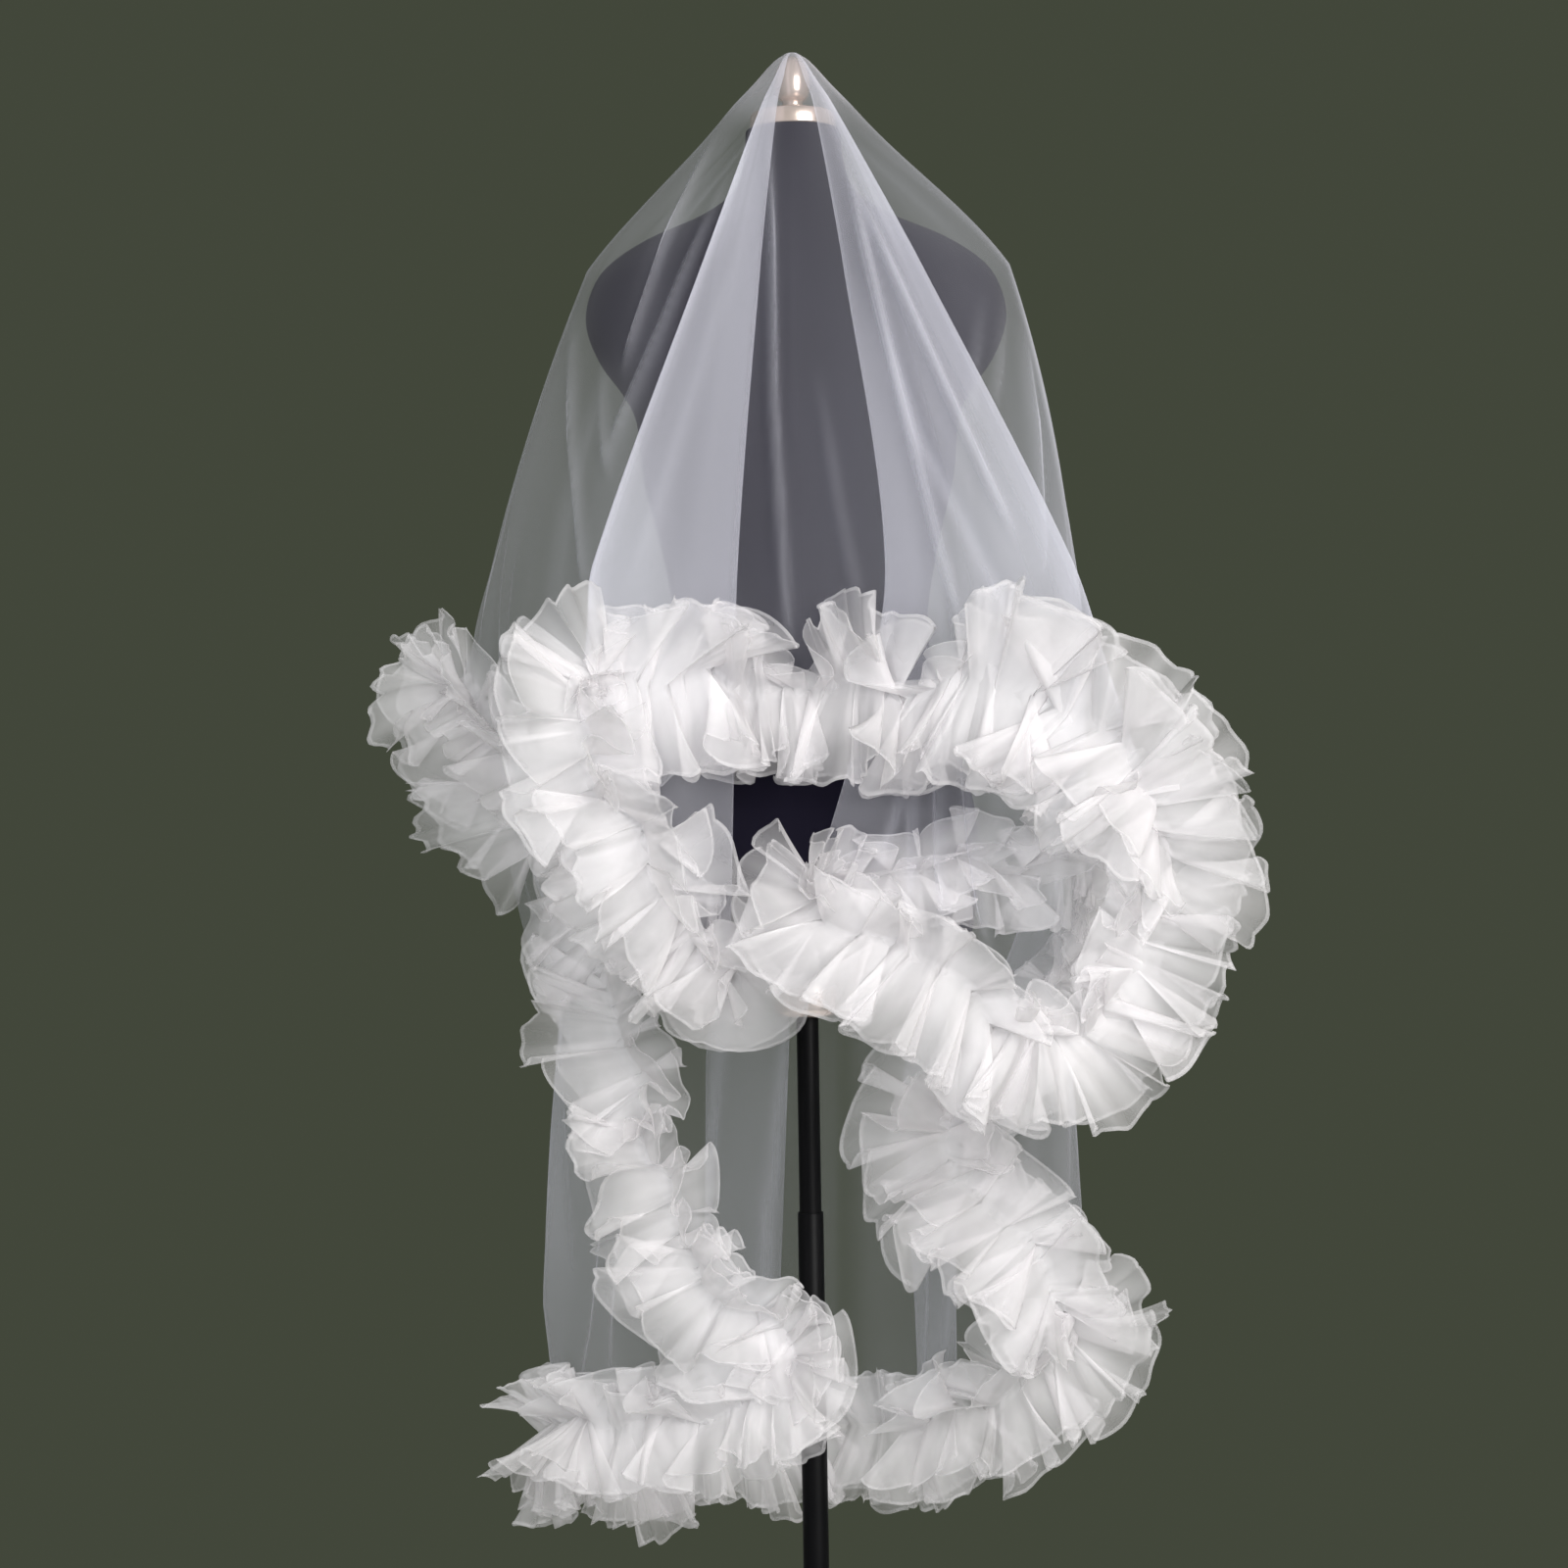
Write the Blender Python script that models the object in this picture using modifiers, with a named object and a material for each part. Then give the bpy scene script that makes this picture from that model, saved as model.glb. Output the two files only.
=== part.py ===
"""A bridal cape veil of sheer tulle on a limbless dress form.

One rounded rectangle of tulle hangs from the knob of the form, short in front and long
behind, with a wide pleated ruffle sewn all round its edge. The form slides on a stand of
two tubes. Metres, +Z up. The origin is the centre of the base's underside, on the axis of
the pole, and the front of the form faces -Y.
"""

import math
from collections import namedtuple

import bmesh
import bpy
from mathutils import Vector

# ---------------------------------------------------------------- driving sizes

SEAM = 0.0003  # clearance between pieces that meet

# Stand
BASE_RADIUS = 0.160
BASE_RIM_TOP = 0.006
BASE_CHAMFER = 0.0015
BASE_CROWN_RADIUS = 0.148  # inside this the top of the base rises gently to the hub
BASE_CROWN_Z = 0.009
HUB_SKIRT_RADIUS = 0.028
HUB_SKIRT_Z = 0.015
HUB_RADIUS = 0.022
HUB_FOOT = 0.020
HUB_TOP = 0.050
HUB_ROUNDING = 0.003
LOWER_POLE_RADIUS = 0.0125
LOWER_POLE_BORE = 0.0111
LOWER_POLE_FOOT = 0.010
LOWER_POLE_TOP = 0.660
UPPER_POLE_RADIUS = 0.0107
UPPER_POLE_FOOT = 0.240
ROUND_STEPS = 40
ROUNDING_STEPS = 4

# Dress form
TORSO_FOOT = 0.888
COLLAR_RADIUS = 0.0315
COLLAR_FOOT = 0.850
COLLAR_ROUNDING = 0.010
NECK_TOP = 1.708
PLATE_RADIUS = 0.0415
PLATE_TOP = 1.725
PLATE_ROUNDING = 0.004
STEM_RADIUS = 0.0105
KNOB_RADIUS = 0.0170
KNOB_FOOT = 1.7365
KNOB_WIDEST_Z = 1.754
KNOB_TOP = 1.780
DOME_STEPS = 8
UNDERSIDE_STEPS = 4
TORSO_STEPS = 40

# Tulle
TULLE_WALL = 0.0012
CROWN_Z = 1.7825  # underside of the cloth where it lies on the knob
SHOULDER_Z = 1.575
WAIST_Z = 1.280
SHOULDER_HALF_WIDTH = 0.20  # of the form under the cloth, for the side that a fold passes
SHOULDER_HALF_DEPTH = 0.09
LEAST_TURN = 0.01  # radians between folds on the knob
SPOKES_PER_FOLD = 3
CROWN_SPANS = 3  # a fold takes one step a span on the knob, and more below it
HANG_STEPS = 2

# Ruffle
PLEAT_PITCH = 0.044
SPINE_LIFT = 0.0050  # the ruffle's gathering line stands this far off the panel's face
SPINE_PAST = 0.0020  # and this far past its edge
SPINE_WAVE = 0.0010
INNER_LEAN = 0.42  # how much the half over the panel stands off it, by its length
OUTER_LEAN = 0.30
PLEAT_SPREAD = 0.20  # how far the pleats stand to and fro, by their length
PLEAT_REACH = 0.95  # how far they reach along the panel, by their length
PLEAT_SHARES = (-1.0, -0.5, 0.0, 0.5, 1.0)  # across the strip, from over the panel to past it
UNEVEN = 0.10  # how much longer or shorter than its neighbours a pleat is
UNEVEN_TURN = 2.4  # radians from one pleat's length to the next
CORNER_GAP = 0.024  # each stretch stops this short of the turn
CORNER_SIZE = 0.3  # its last pleat has this share of the full length
CORNER_TAPER = 0.110  # and its pleats grow by their full length over this distance
BEND_ROOM = 0.60  # on the inside of a bend the pleats reach this share of its radius

# Rings of the cloth on the knob and over the neck plate: height, half width, half depth
Ring = namedtuple("Ring", "z half_width half_depth")
CROWN_RINGS = (
    Ring(CROWN_Z, 0.0060, 0.0060),
    Ring(1.7740, 0.0180, 0.0180),
    Ring(1.7530, 0.0290, 0.0235),
    Ring(1.7240, 0.0590, 0.0480),
)

# Sections of the torso: height, half width, depth in front, depth behind, squareness
Section = namedtuple("Section", "z half_width front back power")
TORSO = (
    Section(TORSO_FOOT, 0.136, 0.082, 0.086, 2.1),
    Section(0.915, 0.156, 0.094, 0.102, 2.1),
    Section(0.960, 0.166, 0.100, 0.110, 2.1),
    Section(1.028, 0.168, 0.100, 0.112, 2.1),
    Section(1.090, 0.156, 0.096, 0.102, 2.1),
    Section(1.160, 0.134, 0.088, 0.086, 2.1),
    Section(1.227, 0.1225, 0.083, 0.077, 2.1),
    Section(1.300, 0.133, 0.088, 0.080, 2.1),
    Section(1.370, 0.150, 0.100, 0.087, 2.1),
    Section(1.427, 0.156, 0.104, 0.091, 2.1),
    Section(1.456, 0.170, 0.101, 0.092, 2.2),
    Section(1.484, 0.190, 0.095, 0.092, 2.3),
    Section(1.518, 0.203, 0.086, 0.090, 2.4),
    Section(1.548, 0.200, 0.078, 0.085, 2.4),
    Section(1.576, 0.184, 0.070, 0.079, 2.3),
    Section(1.602, 0.146, 0.063, 0.072, 2.2),
    Section(1.626, 0.090, 0.058, 0.062, 2.1),
    Section(1.650, 0.058, 0.052, 0.054, 2.0),
    Section(1.680, 0.048, 0.048, 0.048, 2.0),
    Section(NECK_TOP, 0.046, 0.046, 0.046, 2.0),
)

# The folds of the panel, once round its edge from the front centre towards +X. A fold is a
# line from the knob to the edge: where it passes the shoulder ring and the waist ring (x, y),
# how far it swings out of the straight line half way from the waist to the edge (x, y), and
# where it meets the edge (x, y, z).
Fold = namedtuple("Fold", "name shoulder waist swing edge")
FOLDS = (
    Fold("front_centre", (-0.005, -0.091), (-0.010, -0.148), (0, 0), (0.000, -0.165, 1.163)),
    Fold("front_right", (0.075, -0.103), (0.155, -0.178), (0, 0), (0.195, -0.256, 1.155)),
    Fold("crest_right", (0.108, -0.103), (0.240, -0.175), (0, 0), (0.295, -0.260, 1.074)),
    Fold("lobe_right_side", (0.106, -0.098), (0.234, -0.160), (0, 0), (0.318, -0.225, 0.990)),
    Fold("lobe_right_low", (0.098, -0.094), (0.198, -0.146), (0, 0), (0.279, -0.210, 0.889)),
    Fold("lobe_right_corner", (0.086, -0.092), (0.158, -0.139), (0, 0.02), (0.209, -0.235, 0.842)),
    Fold("lobe_right_front", (0.068, -0.089), (0.118, -0.134), (0, 0.03), (0.121, -0.270, 0.905)),
    Fold("fold_right", (0.050, -0.085), (0.083, -0.129), (0.01, 0.02), (0.003, -0.232, 0.975)),
    Fold("inner_right_1", (0.078, -0.079), (0.117, -0.118), (0, 0.01), (0.101, -0.160, 0.997)),
    Fold("inner_right_2", (0.120, -0.070), (0.178, -0.092), (0, 0), (0.196, -0.110, 1.001)),
    Fold("inner_right_side", (0.168, -0.055), (0.238, -0.040), (0, 0), (0.268, -0.030, 1.000)),
    Fold("side_right_top", (0.200, -0.025), (0.264, 0.015), (0, 0), (0.280, 0.035, 0.915)),
    Fold("side_right_back", (0.209, 0.008), (0.270, 0.050), (0.02, 0.03), (0.200, 0.035, 0.815)),
    Fold("side_right_turn", (0.206, 0.030), (0.266, 0.075), (0.05, 0.05), (0.129, 0.025, 0.757)),
    Fold("side_right_mid", (0.195, 0.048), (0.250, 0.095), (0.055, 0.06), (0.149, 0.005, 0.691)),
    Fold("side_right_low", (0.178, 0.062), (0.226, 0.115), (0.045, 0.06), (0.213, 0.000, 0.617)),
    Fold("corner_back_right", (0.150, 0.076), (0.190, 0.132), (0.03, 0.05), (0.254, 0.025, 0.541)),
    Fold("hem_right_1", (0.118, 0.086), (0.152, 0.146), (0.01, 0.03), (0.190, 0.060, 0.475)),
    Fold("hem_right_2", (0.082, 0.094), (0.105, 0.156), (0, 0.01), (0.105, 0.125, 0.432)),
    Fold("hem_centre", (0.030, 0.099), (0.030, 0.152), (0, 0.00), (0.020, 0.170, 0.418)),
    Fold("hem_left_1", (-0.030, 0.099), (-0.045, 0.160), (0, 0.00), (-0.085, 0.190, 0.405)),
    Fold("hem_left_2", (-0.078, 0.094), (-0.120, 0.152), (0, 0.00), (-0.185, 0.185, 0.398)),
    Fold("corner_back_left", (-0.120, 0.083), (-0.190, 0.134), (0.01, 0.03), (-0.258, 0.095, 0.430)),
    Fold("left_low_1", (-0.148, 0.072), (-0.236, 0.110), (-0.020, 0.065), (-0.222, 0.000, 0.464)),
    Fold("left_low_2", (-0.165, 0.062), (-0.262, 0.090), (-0.070, 0.090), (-0.110, -0.062, 0.478)),
    Fold("fold_left_low", (-0.182, 0.048), (-0.280, 0.070), (-0.115, 0.105), (-0.012, -0.098, 0.535)),
    Fold("side_left_1", (-0.193, 0.034), (-0.290, 0.050), (-0.075, 0.100), (-0.098, -0.100, 0.610)),
    Fold("side_left_2", (-0.199, 0.020), (-0.295, 0.036), (-0.060, 0.085), (-0.140, -0.085, 0.715)),
    Fold("side_left_3", (-0.202, 0.008), (-0.298, 0.022), (-0.050, 0.070), (-0.178, -0.062, 0.850)),
    Fold("side_left_4", (-0.200, -0.008), (-0.300, 0.006), (-0.050, 0.055), (-0.230, -0.030, 1.000)),
    Fold("side_left_top", (-0.188, -0.030), (-0.294, -0.012), (0, 0), (-0.335, 0.025, 1.175)),
    Fold("inner_left_1", (-0.150, -0.058), (-0.225, -0.066), (0, 0), (-0.262, -0.070, 1.100)),
    Fold("inner_left_2", (-0.100, -0.074), (-0.145, -0.104), (0, 0), (-0.165, -0.140, 1.000)),
    Fold("fold_left", (-0.036, -0.085), (-0.060, -0.130), (0, 0), (-0.072, -0.190, 0.912)),
    Fold("lobe_left_low", (-0.052, -0.090), (-0.093, -0.138), (0, 0), (-0.108, -0.230, 0.954)),
    Fold("lobe_left_mid", (-0.072, -0.095), (-0.145, -0.148), (0, 0), (-0.153, -0.265, 1.038)),
    Fold("lobe_left_high", (-0.086, -0.101), (-0.188, -0.162), (0, 0), (-0.192, -0.262, 1.112)),
    Fold("crest_left", (-0.088, -0.106), (-0.203, -0.175), (0, 0), (-0.190, -0.248, 1.172)),
    Fold("front_left", (-0.048, -0.100), (-0.120, -0.172), (0, 0), (-0.105, -0.205, 1.172)),
)

# Stretches of the ruffle from one fold to another: reach past the edge, reach back over the
# panel, the side that its pleats face (degrees from the front towards +X), and whether that
# is the panel's outer face (1) or its inner face (-1).
Stretch = namedtuple("Stretch", "name first last outer inner facing face")
STRETCHES = (
    Stretch("ruffle_front", "crest_left", "crest_right", 0.100, 0.075, 0, 1),
    Stretch("ruffle_right_lobe", "crest_right", "fold_right", 0.095, 0.055, 10, -1),
    Stretch("ruffle_right_inner", "fold_right", "side_right_top", 0.060, 0.028, 35, 1),
    Stretch("ruffle_right_under", "side_right_top", "side_right_turn", 0.070, 0.040, 0, -1),
    Stretch("ruffle_right_side", "side_right_turn", "corner_back_right", 0.080, 0.060, 25, 1),
    Stretch("ruffle_right_lower", "corner_back_right", "hem_right_2", 0.095, 0.070, 0, -1),
    Stretch("ruffle_back_hem", "hem_right_2", "hem_left_2", 0.095, 0.075, 180, 1),
    Stretch("ruffle_left_corner", "hem_left_2", "left_low_1", 0.095, 0.070, -100, 1),
    Stretch("ruffle_left_lower", "left_low_1", "fold_left_low", 0.095, 0.042, -15, 1),
    Stretch("ruffle_left_side", "fold_left_low", "side_left_4", 0.080, 0.065, -25, 1),
    Stretch("ruffle_left_top", "side_left_4", "side_left_top", 0.045, 0.150, -60, 1),
    Stretch("ruffle_left_inner", "side_left_top", "fold_left", 0.050, 0.040, -40, 1),
    Stretch("ruffle_left_lobe", "fold_left", "crest_left", 0.085, 0.070, -10, -1),
)

# Finishes: colour, roughness, metallic
Finish = namedtuple("Finish", "colour roughness metallic")
FINISHES = {
    "tulle": Finish((0.86, 0.86, 0.86), 0.85, 0.0),
    "form_cover": Finish((0.030, 0.030, 0.034), 0.90, 0.0),
    "champagne_metal": Finish((0.80, 0.62, 0.50), 0.25, 1.0),
    "black_paint": Finish((0.015, 0.015, 0.016), 0.40, 0.0),
}


# ---------------------------------------------------------------- helpers


def clear_startup_objects():
    for thing in list(bpy.data.objects):
        bpy.data.objects.remove(thing, do_unlink=True)


def material(name):
    """The material of one finish, made the first time it is asked for."""
    found = bpy.data.materials.get(name)
    if found:
        return found
    finish = FINISHES[name]
    made = bpy.data.materials.new(name)
    made.use_nodes = True
    surface = made.node_tree.nodes["Principled BSDF"]
    surface.inputs["Base Color"].default_value = (*finish.colour, 1)
    surface.inputs["Roughness"].default_value = finish.roughness
    surface.inputs["Metallic"].default_value = finish.metallic
    return made


def add_object(name, shape, finish):
    """An object from a bmesh, in the part's collection, with its finish."""
    mesh = bpy.data.meshes.new(name)
    shape.to_mesh(mesh)
    shape.free()
    made = bpy.data.objects.new(name, mesh)
    made.data.materials.append(material(finish))
    COLLECTION.objects.link(made)
    return made


def turned(name, profile, finish, closed=False):
    """A turned solid: the profile (radius, height) runs down the outer side."""
    shape = bmesh.new()
    points = [shape.verts.new((radius, 0, height)) for radius, height in profile]
    for first, second in zip(points, points[1:]):
        shape.edges.new((first, second))
    if closed:
        shape.edges.new((points[-1], points[0]))
    made = add_object(name, shape, finish)
    screw = made.modifiers.new("turn", "SCREW")
    screw.steps = screw.render_steps = ROUND_STEPS
    screw.use_merge_vertices = True
    screw.merge_threshold = 0.00005
    return made


def round_corner(radius, height, rounding, top):
    """The rounded outer corner of a turned profile, at its top or its bottom, from above."""
    turns = [math.pi / 2 * i / ROUNDING_STEPS for i in range(ROUNDING_STEPS + 1)]
    if top:
        return [
            (radius - rounding * (1 - math.sin(t)), height - rounding * (1 - math.cos(t)))
            for t in turns
        ]
    return [
        (radius - rounding * (1 - math.cos(t)), height + rounding * (1 - math.sin(t)))
        for t in turns
    ]


def smooth(before, start, end, after, t):
    """The point a share t of the way from start to end on a curve through all four."""
    out = (end - before) / 2
    into = (after - start) / 2
    return (
        start * (2 * t**3 - 3 * t**2 + 1)
        + out * (t**3 - 2 * t**2 + t)
        + end * (3 * t**2 - 2 * t**3)
        + into * (t**3 - t**2)
    )


def add_wall(shape, rows, closed_round):
    """Faces between rows of points, as an open surface that Solidify makes a wall of."""
    count = len(rows[0])
    reach = count if closed_round else count - 1
    for near, far in zip(rows, rows[1:]):
        for i in range(reach):
            j = (i + 1) % count
            shape.faces.new((near[i], near[j], far[j], far[i]))


def solidify(made, wall):
    """Gives an open surface its thickness, half to each side."""
    modifier = made.modifiers.new("wall", "SOLIDIFY")
    modifier.thickness = wall
    modifier.offset = 0


# ---------------------------------------------------------------- stand and form


def build_stand():
    bore = LOWER_POLE_RADIUS + SEAM
    turned(
        "base_disc",
        [
            (bore, HUB_TOP),
            *round_corner(HUB_RADIUS, HUB_TOP, HUB_ROUNDING, top=True),
            (HUB_RADIUS, HUB_FOOT),
            (HUB_SKIRT_RADIUS, HUB_SKIRT_Z),
            (BASE_CROWN_RADIUS, BASE_CROWN_Z),
            (BASE_RADIUS, BASE_RIM_TOP),
            (BASE_RADIUS, BASE_CHAMFER),
            (BASE_RADIUS - BASE_CHAMFER, 0),
            (0, 0),
            (0, LOWER_POLE_FOOT - SEAM),
            (bore, LOWER_POLE_FOOT - SEAM),
        ],
        "black_paint",
        closed=True,
    )
    turned(
        "lower_pole",
        [
            (LOWER_POLE_BORE, LOWER_POLE_TOP),
            (LOWER_POLE_RADIUS, LOWER_POLE_TOP),
            (LOWER_POLE_RADIUS, LOWER_POLE_FOOT),
            (LOWER_POLE_BORE, LOWER_POLE_FOOT),
        ],
        "black_paint",
        closed=True,
    )
    turned(
        "upper_pole",
        [
            (0, TORSO_FOOT - SEAM),
            (UPPER_POLE_RADIUS, TORSO_FOOT - SEAM),
            (UPPER_POLE_RADIUS, UPPER_POLE_FOOT),
            (0, UPPER_POLE_FOOT),
        ],
        "black_paint",
    )
    inside = UPPER_POLE_RADIUS + SEAM
    turned(
        "bottom_collar",
        [
            (inside, TORSO_FOOT - SEAM),
            (COLLAR_RADIUS, TORSO_FOOT - SEAM),
            *round_corner(COLLAR_RADIUS, COLLAR_FOOT, COLLAR_ROUNDING, top=False),
            (inside, COLLAR_FOOT),
        ],
        "champagne_metal",
        closed=True,
    )


def build_cap():
    turned(
        "neck_plate",
        [
            (0, PLATE_TOP),
            *round_corner(PLATE_RADIUS, PLATE_TOP, PLATE_ROUNDING, top=True),
            (PLATE_RADIUS, NECK_TOP + SEAM),
            (0, NECK_TOP + SEAM),
        ],
        "champagne_metal",
    )
    dome = []
    for i in range(DOME_STEPS + 1):
        turn = math.pi / 2 * i / DOME_STEPS
        height = KNOB_WIDEST_Z + (KNOB_TOP - KNOB_WIDEST_Z) * math.cos(turn)
        dome.append((KNOB_RADIUS * math.sin(turn), height))
    underside = []
    for i in range(1, UNDERSIDE_STEPS + 1):
        turn = math.pi / 2 * i / UNDERSIDE_STEPS
        radius = STEM_RADIUS + (KNOB_RADIUS - STEM_RADIUS) * math.cos(turn)
        underside.append((radius, KNOB_WIDEST_Z - (KNOB_WIDEST_Z - KNOB_FOOT) * math.sin(turn)))
    turned(
        "finial",
        [*dome, *underside, (STEM_RADIUS, PLATE_TOP + SEAM), (0, PLATE_TOP + SEAM)],
        "champagne_metal",
    )


def superellipse(section, turn):
    """A point of a torso section, at an angle in radians from +X."""
    across, along = math.cos(turn), math.sin(turn)
    depth = section.back if along > 0 else section.front
    power = 2 / section.power
    return (
        section.half_width * math.copysign(abs(across) ** power, across),
        depth * math.copysign(abs(along) ** power, along),
        section.z,
    )


def build_torso():
    shape = bmesh.new()
    turns = [2 * math.pi * i / TORSO_STEPS for i in range(TORSO_STEPS)]
    rows = [[shape.verts.new(superellipse(section, t)) for t in turns] for section in TORSO]
    add_wall(shape, rows, closed_round=True)
    shape.faces.new(list(reversed(rows[0])))
    shape.faces.new(rows[-1])
    bmesh.ops.recalc_face_normals(shape, faces=shape.faces)
    torso = add_object("form_torso", shape, "form_cover")
    torso.data.shade_smooth()


# ---------------------------------------------------------------- the tulle panel


def dense_folds():
    """The fold lines with the smooth ones between them, as (shoulder, waist, swing, edge)."""
    lines = [[Vector(part) for part in fold[1:]] for fold in FOLDS]
    count = len(lines)
    made = []
    for i in range(count):
        around = [lines[(i + k) % count] for k in (-1, 0, 1, 2)]
        for step in range(SPOKES_PER_FOLD):
            share = step / SPOKES_PER_FOLD
            made.append([smooth(*[line[part] for line in around], share) for part in range(4)])
    return made


def crown_turns(lines):
    """Where each fold line leaves the knob: half by its share of the edge's length, half by
    the side of the shoulder that it passes, in radians from the front towards +X."""
    steps = [(b[3] - a[3]).length for a, b in zip(lines, lines[1:] + lines[:1])]
    total = sum(steps)
    turns = []
    gone = 0.0
    for line, step in zip(lines, steps):
        across = line[0].x / SHOULDER_HALF_WIDTH
        along = -line[0].y / SHOULDER_HALF_DEPTH
        side = math.atan2(across, along) % (2 * math.pi)
        by_length = 2 * math.pi * gone / total
        if side - by_length > math.pi:
            side -= 2 * math.pi
        turns.append((side + by_length) / 2)
        gone += step
    for i in range(1, len(turns)):
        turns[i] = max(turns[i], turns[i - 1] + LEAST_TURN)
    return turns


def fold_line(line, turn):
    """One fold from the knob to the panel's edge, as points on the cloth's rings."""
    shoulder, waist, swing, edge = line
    knots = [
        Vector((ring.half_width * math.sin(turn), -ring.half_depth * math.cos(turn), ring.z))
        for ring in CROWN_RINGS
    ]
    shoulder = Vector((*shoulder, SHOULDER_Z))
    waist = Vector((*waist, WAIST_Z))
    half_way = (waist + edge) / 2 + Vector((*swing, 0))
    knots += [shoulder, waist, half_way, edge]
    ends = [knots[0], *knots, 2 * edge - half_way]
    points = []
    for i in range(len(knots) - 1):
        steps = 1 if i < CROWN_SPANS else HANG_STEPS
        for step in range(steps):
            points.append(smooth(*ends[i : i + 4], step / steps))
    return points + [edge]


def panel_lines():
    """Every fold line of the panel, densely, from the knob to the edge."""
    lines = dense_folds()
    return [fold_line(line, turn) for line, turn in zip(lines, crown_turns(lines))]


def build_panel(lines):
    shape = bmesh.new()
    rings = [[shape.verts.new(line[k]) for line in lines] for k in range(len(lines[0]))]
    shape.faces.new(rings[0])
    add_wall(shape, rings, closed_round=True)
    bmesh.ops.recalc_face_normals(shape, faces=shape.faces)
    panel = add_object("veil_panel", shape, "tulle")
    solidify(panel, TULLE_WALL)


# ---------------------------------------------------------------- the ruffle


def pleat_places(edge, first, last):
    """Evenly spaced (place, direction, bend, size) along the edge, two to a pleat."""
    count = len(edge)
    span = [edge[(first + k) % count] for k in range((last - first) % count + 1)]
    walked = [0.0]
    for near, far in zip(span, span[1:]):
        walked.append(walked[-1] + (far - near).length)
    length = walked[-1] - 2 * CORNER_GAP
    steps = 2 * max(2, round(length / PLEAT_PITCH))

    def at(distance):
        i = max(j for j in range(len(span) - 1) if walked[j] <= distance)
        return span[i].lerp(span[i + 1], (distance - walked[i]) / (walked[i + 1] - walked[i]))

    places = []
    for k in range(steps + 1):
        distance = CORNER_GAP + length * k / steps
        here = at(distance)
        into = (here - at(distance - CORNER_GAP)).normalized()
        out = (at(distance + CORNER_GAP) - here).normalized()
        near_end = min(distance, walked[-1] - distance)
        size = min(1, CORNER_SIZE + near_end / CORNER_TAPER)
        places.append((here, (into + out).normalized(), (out - into) / CORNER_GAP, size))
    return places


def build_ruffle(stretch, edge):
    """A pleated strip, gathered on the panel's edge: its pleats stand to and fro across the
    strip, more the further they are from the gathering line, and fan to both sides of it."""
    names = [fold.name for fold in FOLDS]
    first = names.index(stretch.first) * SPOKES_PER_FOLD
    last = names.index(stretch.last) * SPOKES_PER_FOLD
    turn = math.radians(stretch.facing)
    facing = Vector((math.sin(turn), -math.cos(turn), 0))
    shape = bmesh.new()
    columns = []
    for k, (place, along, bend, size) in enumerate(pleat_places(edge, first, last)):
        face = (facing - facing.dot(along) * along).normalized()
        outward = along.cross(face) * stretch.face
        side = 1 if k % 2 else -1
        uneven = size * (1 + UNEVEN * math.sin(UNEVEN_TURN * k))
        curve = bend.dot(outward)  # above 0 where the edge bends round its outer half
        inner = min(stretch.inner, BEND_ROOM / max(-curve, 1))
        outer = min(stretch.outer, BEND_ROOM / max(curve, 1))
        column = []
        for share in PLEAT_SHARES:
            away = abs(share) * (inner if share < 0 else outer) * uneven
            lift = SPINE_LIFT + (INNER_LEAN if share < 0 else OUTER_LEAN) * away
            wave = SPINE_WAVE + PLEAT_SPREAD * away
            past = SPINE_PAST + PLEAT_REACH * math.copysign(away, share)
            column.append(shape.verts.new(place + outward * past + face * (lift + side * wave)))
        columns.append(column)
    add_wall(shape, columns, closed_round=False)
    bmesh.ops.recalc_face_normals(shape, faces=shape.faces)
    ruffle = add_object(stretch.name, shape, "tulle")
    solidify(ruffle, TULLE_WALL)


# ---------------------------------------------------------------- the whole


clear_startup_objects()
COLLECTION = bpy.data.collections.new("bridal_cape_veil_on_dress_form")
bpy.context.scene.collection.children.link(COLLECTION)

build_stand()
build_cap()
build_torso()
LINES = panel_lines()
build_panel(LINES)
EDGE = [line[-1] for line in LINES]
for one in STRETCHES:
    build_ruffle(one, EDGE)
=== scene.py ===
# %% [markdown]
# # A bridal cape veil on a dress form
#
# The real thing is one big rounded rectangle of sheer tulle with a wide, very full ruffle sewn
# all round its edge. It hangs by its own weight from the knob of a black dress form. This
# lesson builds it in the order a shop would set it up: the stand, the form, the big sheet, the
# ruffle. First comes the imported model, whose solids say where every piece goes.

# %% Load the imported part
import math
import random
from collections import namedtuple

import bmesh
import bpy
import numpy as np
from mathutils import Matrix, Vector


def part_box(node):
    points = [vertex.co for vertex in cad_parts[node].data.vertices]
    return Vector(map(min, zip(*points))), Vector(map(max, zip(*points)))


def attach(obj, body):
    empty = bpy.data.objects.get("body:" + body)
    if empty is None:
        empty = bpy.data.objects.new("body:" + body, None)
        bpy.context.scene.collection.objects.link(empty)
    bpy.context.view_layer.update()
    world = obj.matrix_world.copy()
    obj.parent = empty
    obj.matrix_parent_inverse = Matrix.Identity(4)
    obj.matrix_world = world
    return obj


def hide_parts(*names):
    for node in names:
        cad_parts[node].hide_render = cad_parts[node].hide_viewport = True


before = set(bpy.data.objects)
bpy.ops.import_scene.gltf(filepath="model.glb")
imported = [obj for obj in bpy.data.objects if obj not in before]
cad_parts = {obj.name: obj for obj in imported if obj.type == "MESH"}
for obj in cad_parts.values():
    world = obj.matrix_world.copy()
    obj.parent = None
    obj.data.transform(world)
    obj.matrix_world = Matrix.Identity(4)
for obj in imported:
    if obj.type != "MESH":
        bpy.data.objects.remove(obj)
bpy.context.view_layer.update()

# %% [markdown]
# ## The camera
#
# A lens about twice as long as the eye's flattens the form a little, as in a shop picture. The
# camera stands three metres in front at chest height and leans by less than a degree. Its
# matrix is written from its own three directions, which avoids any guessing with angles.

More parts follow.
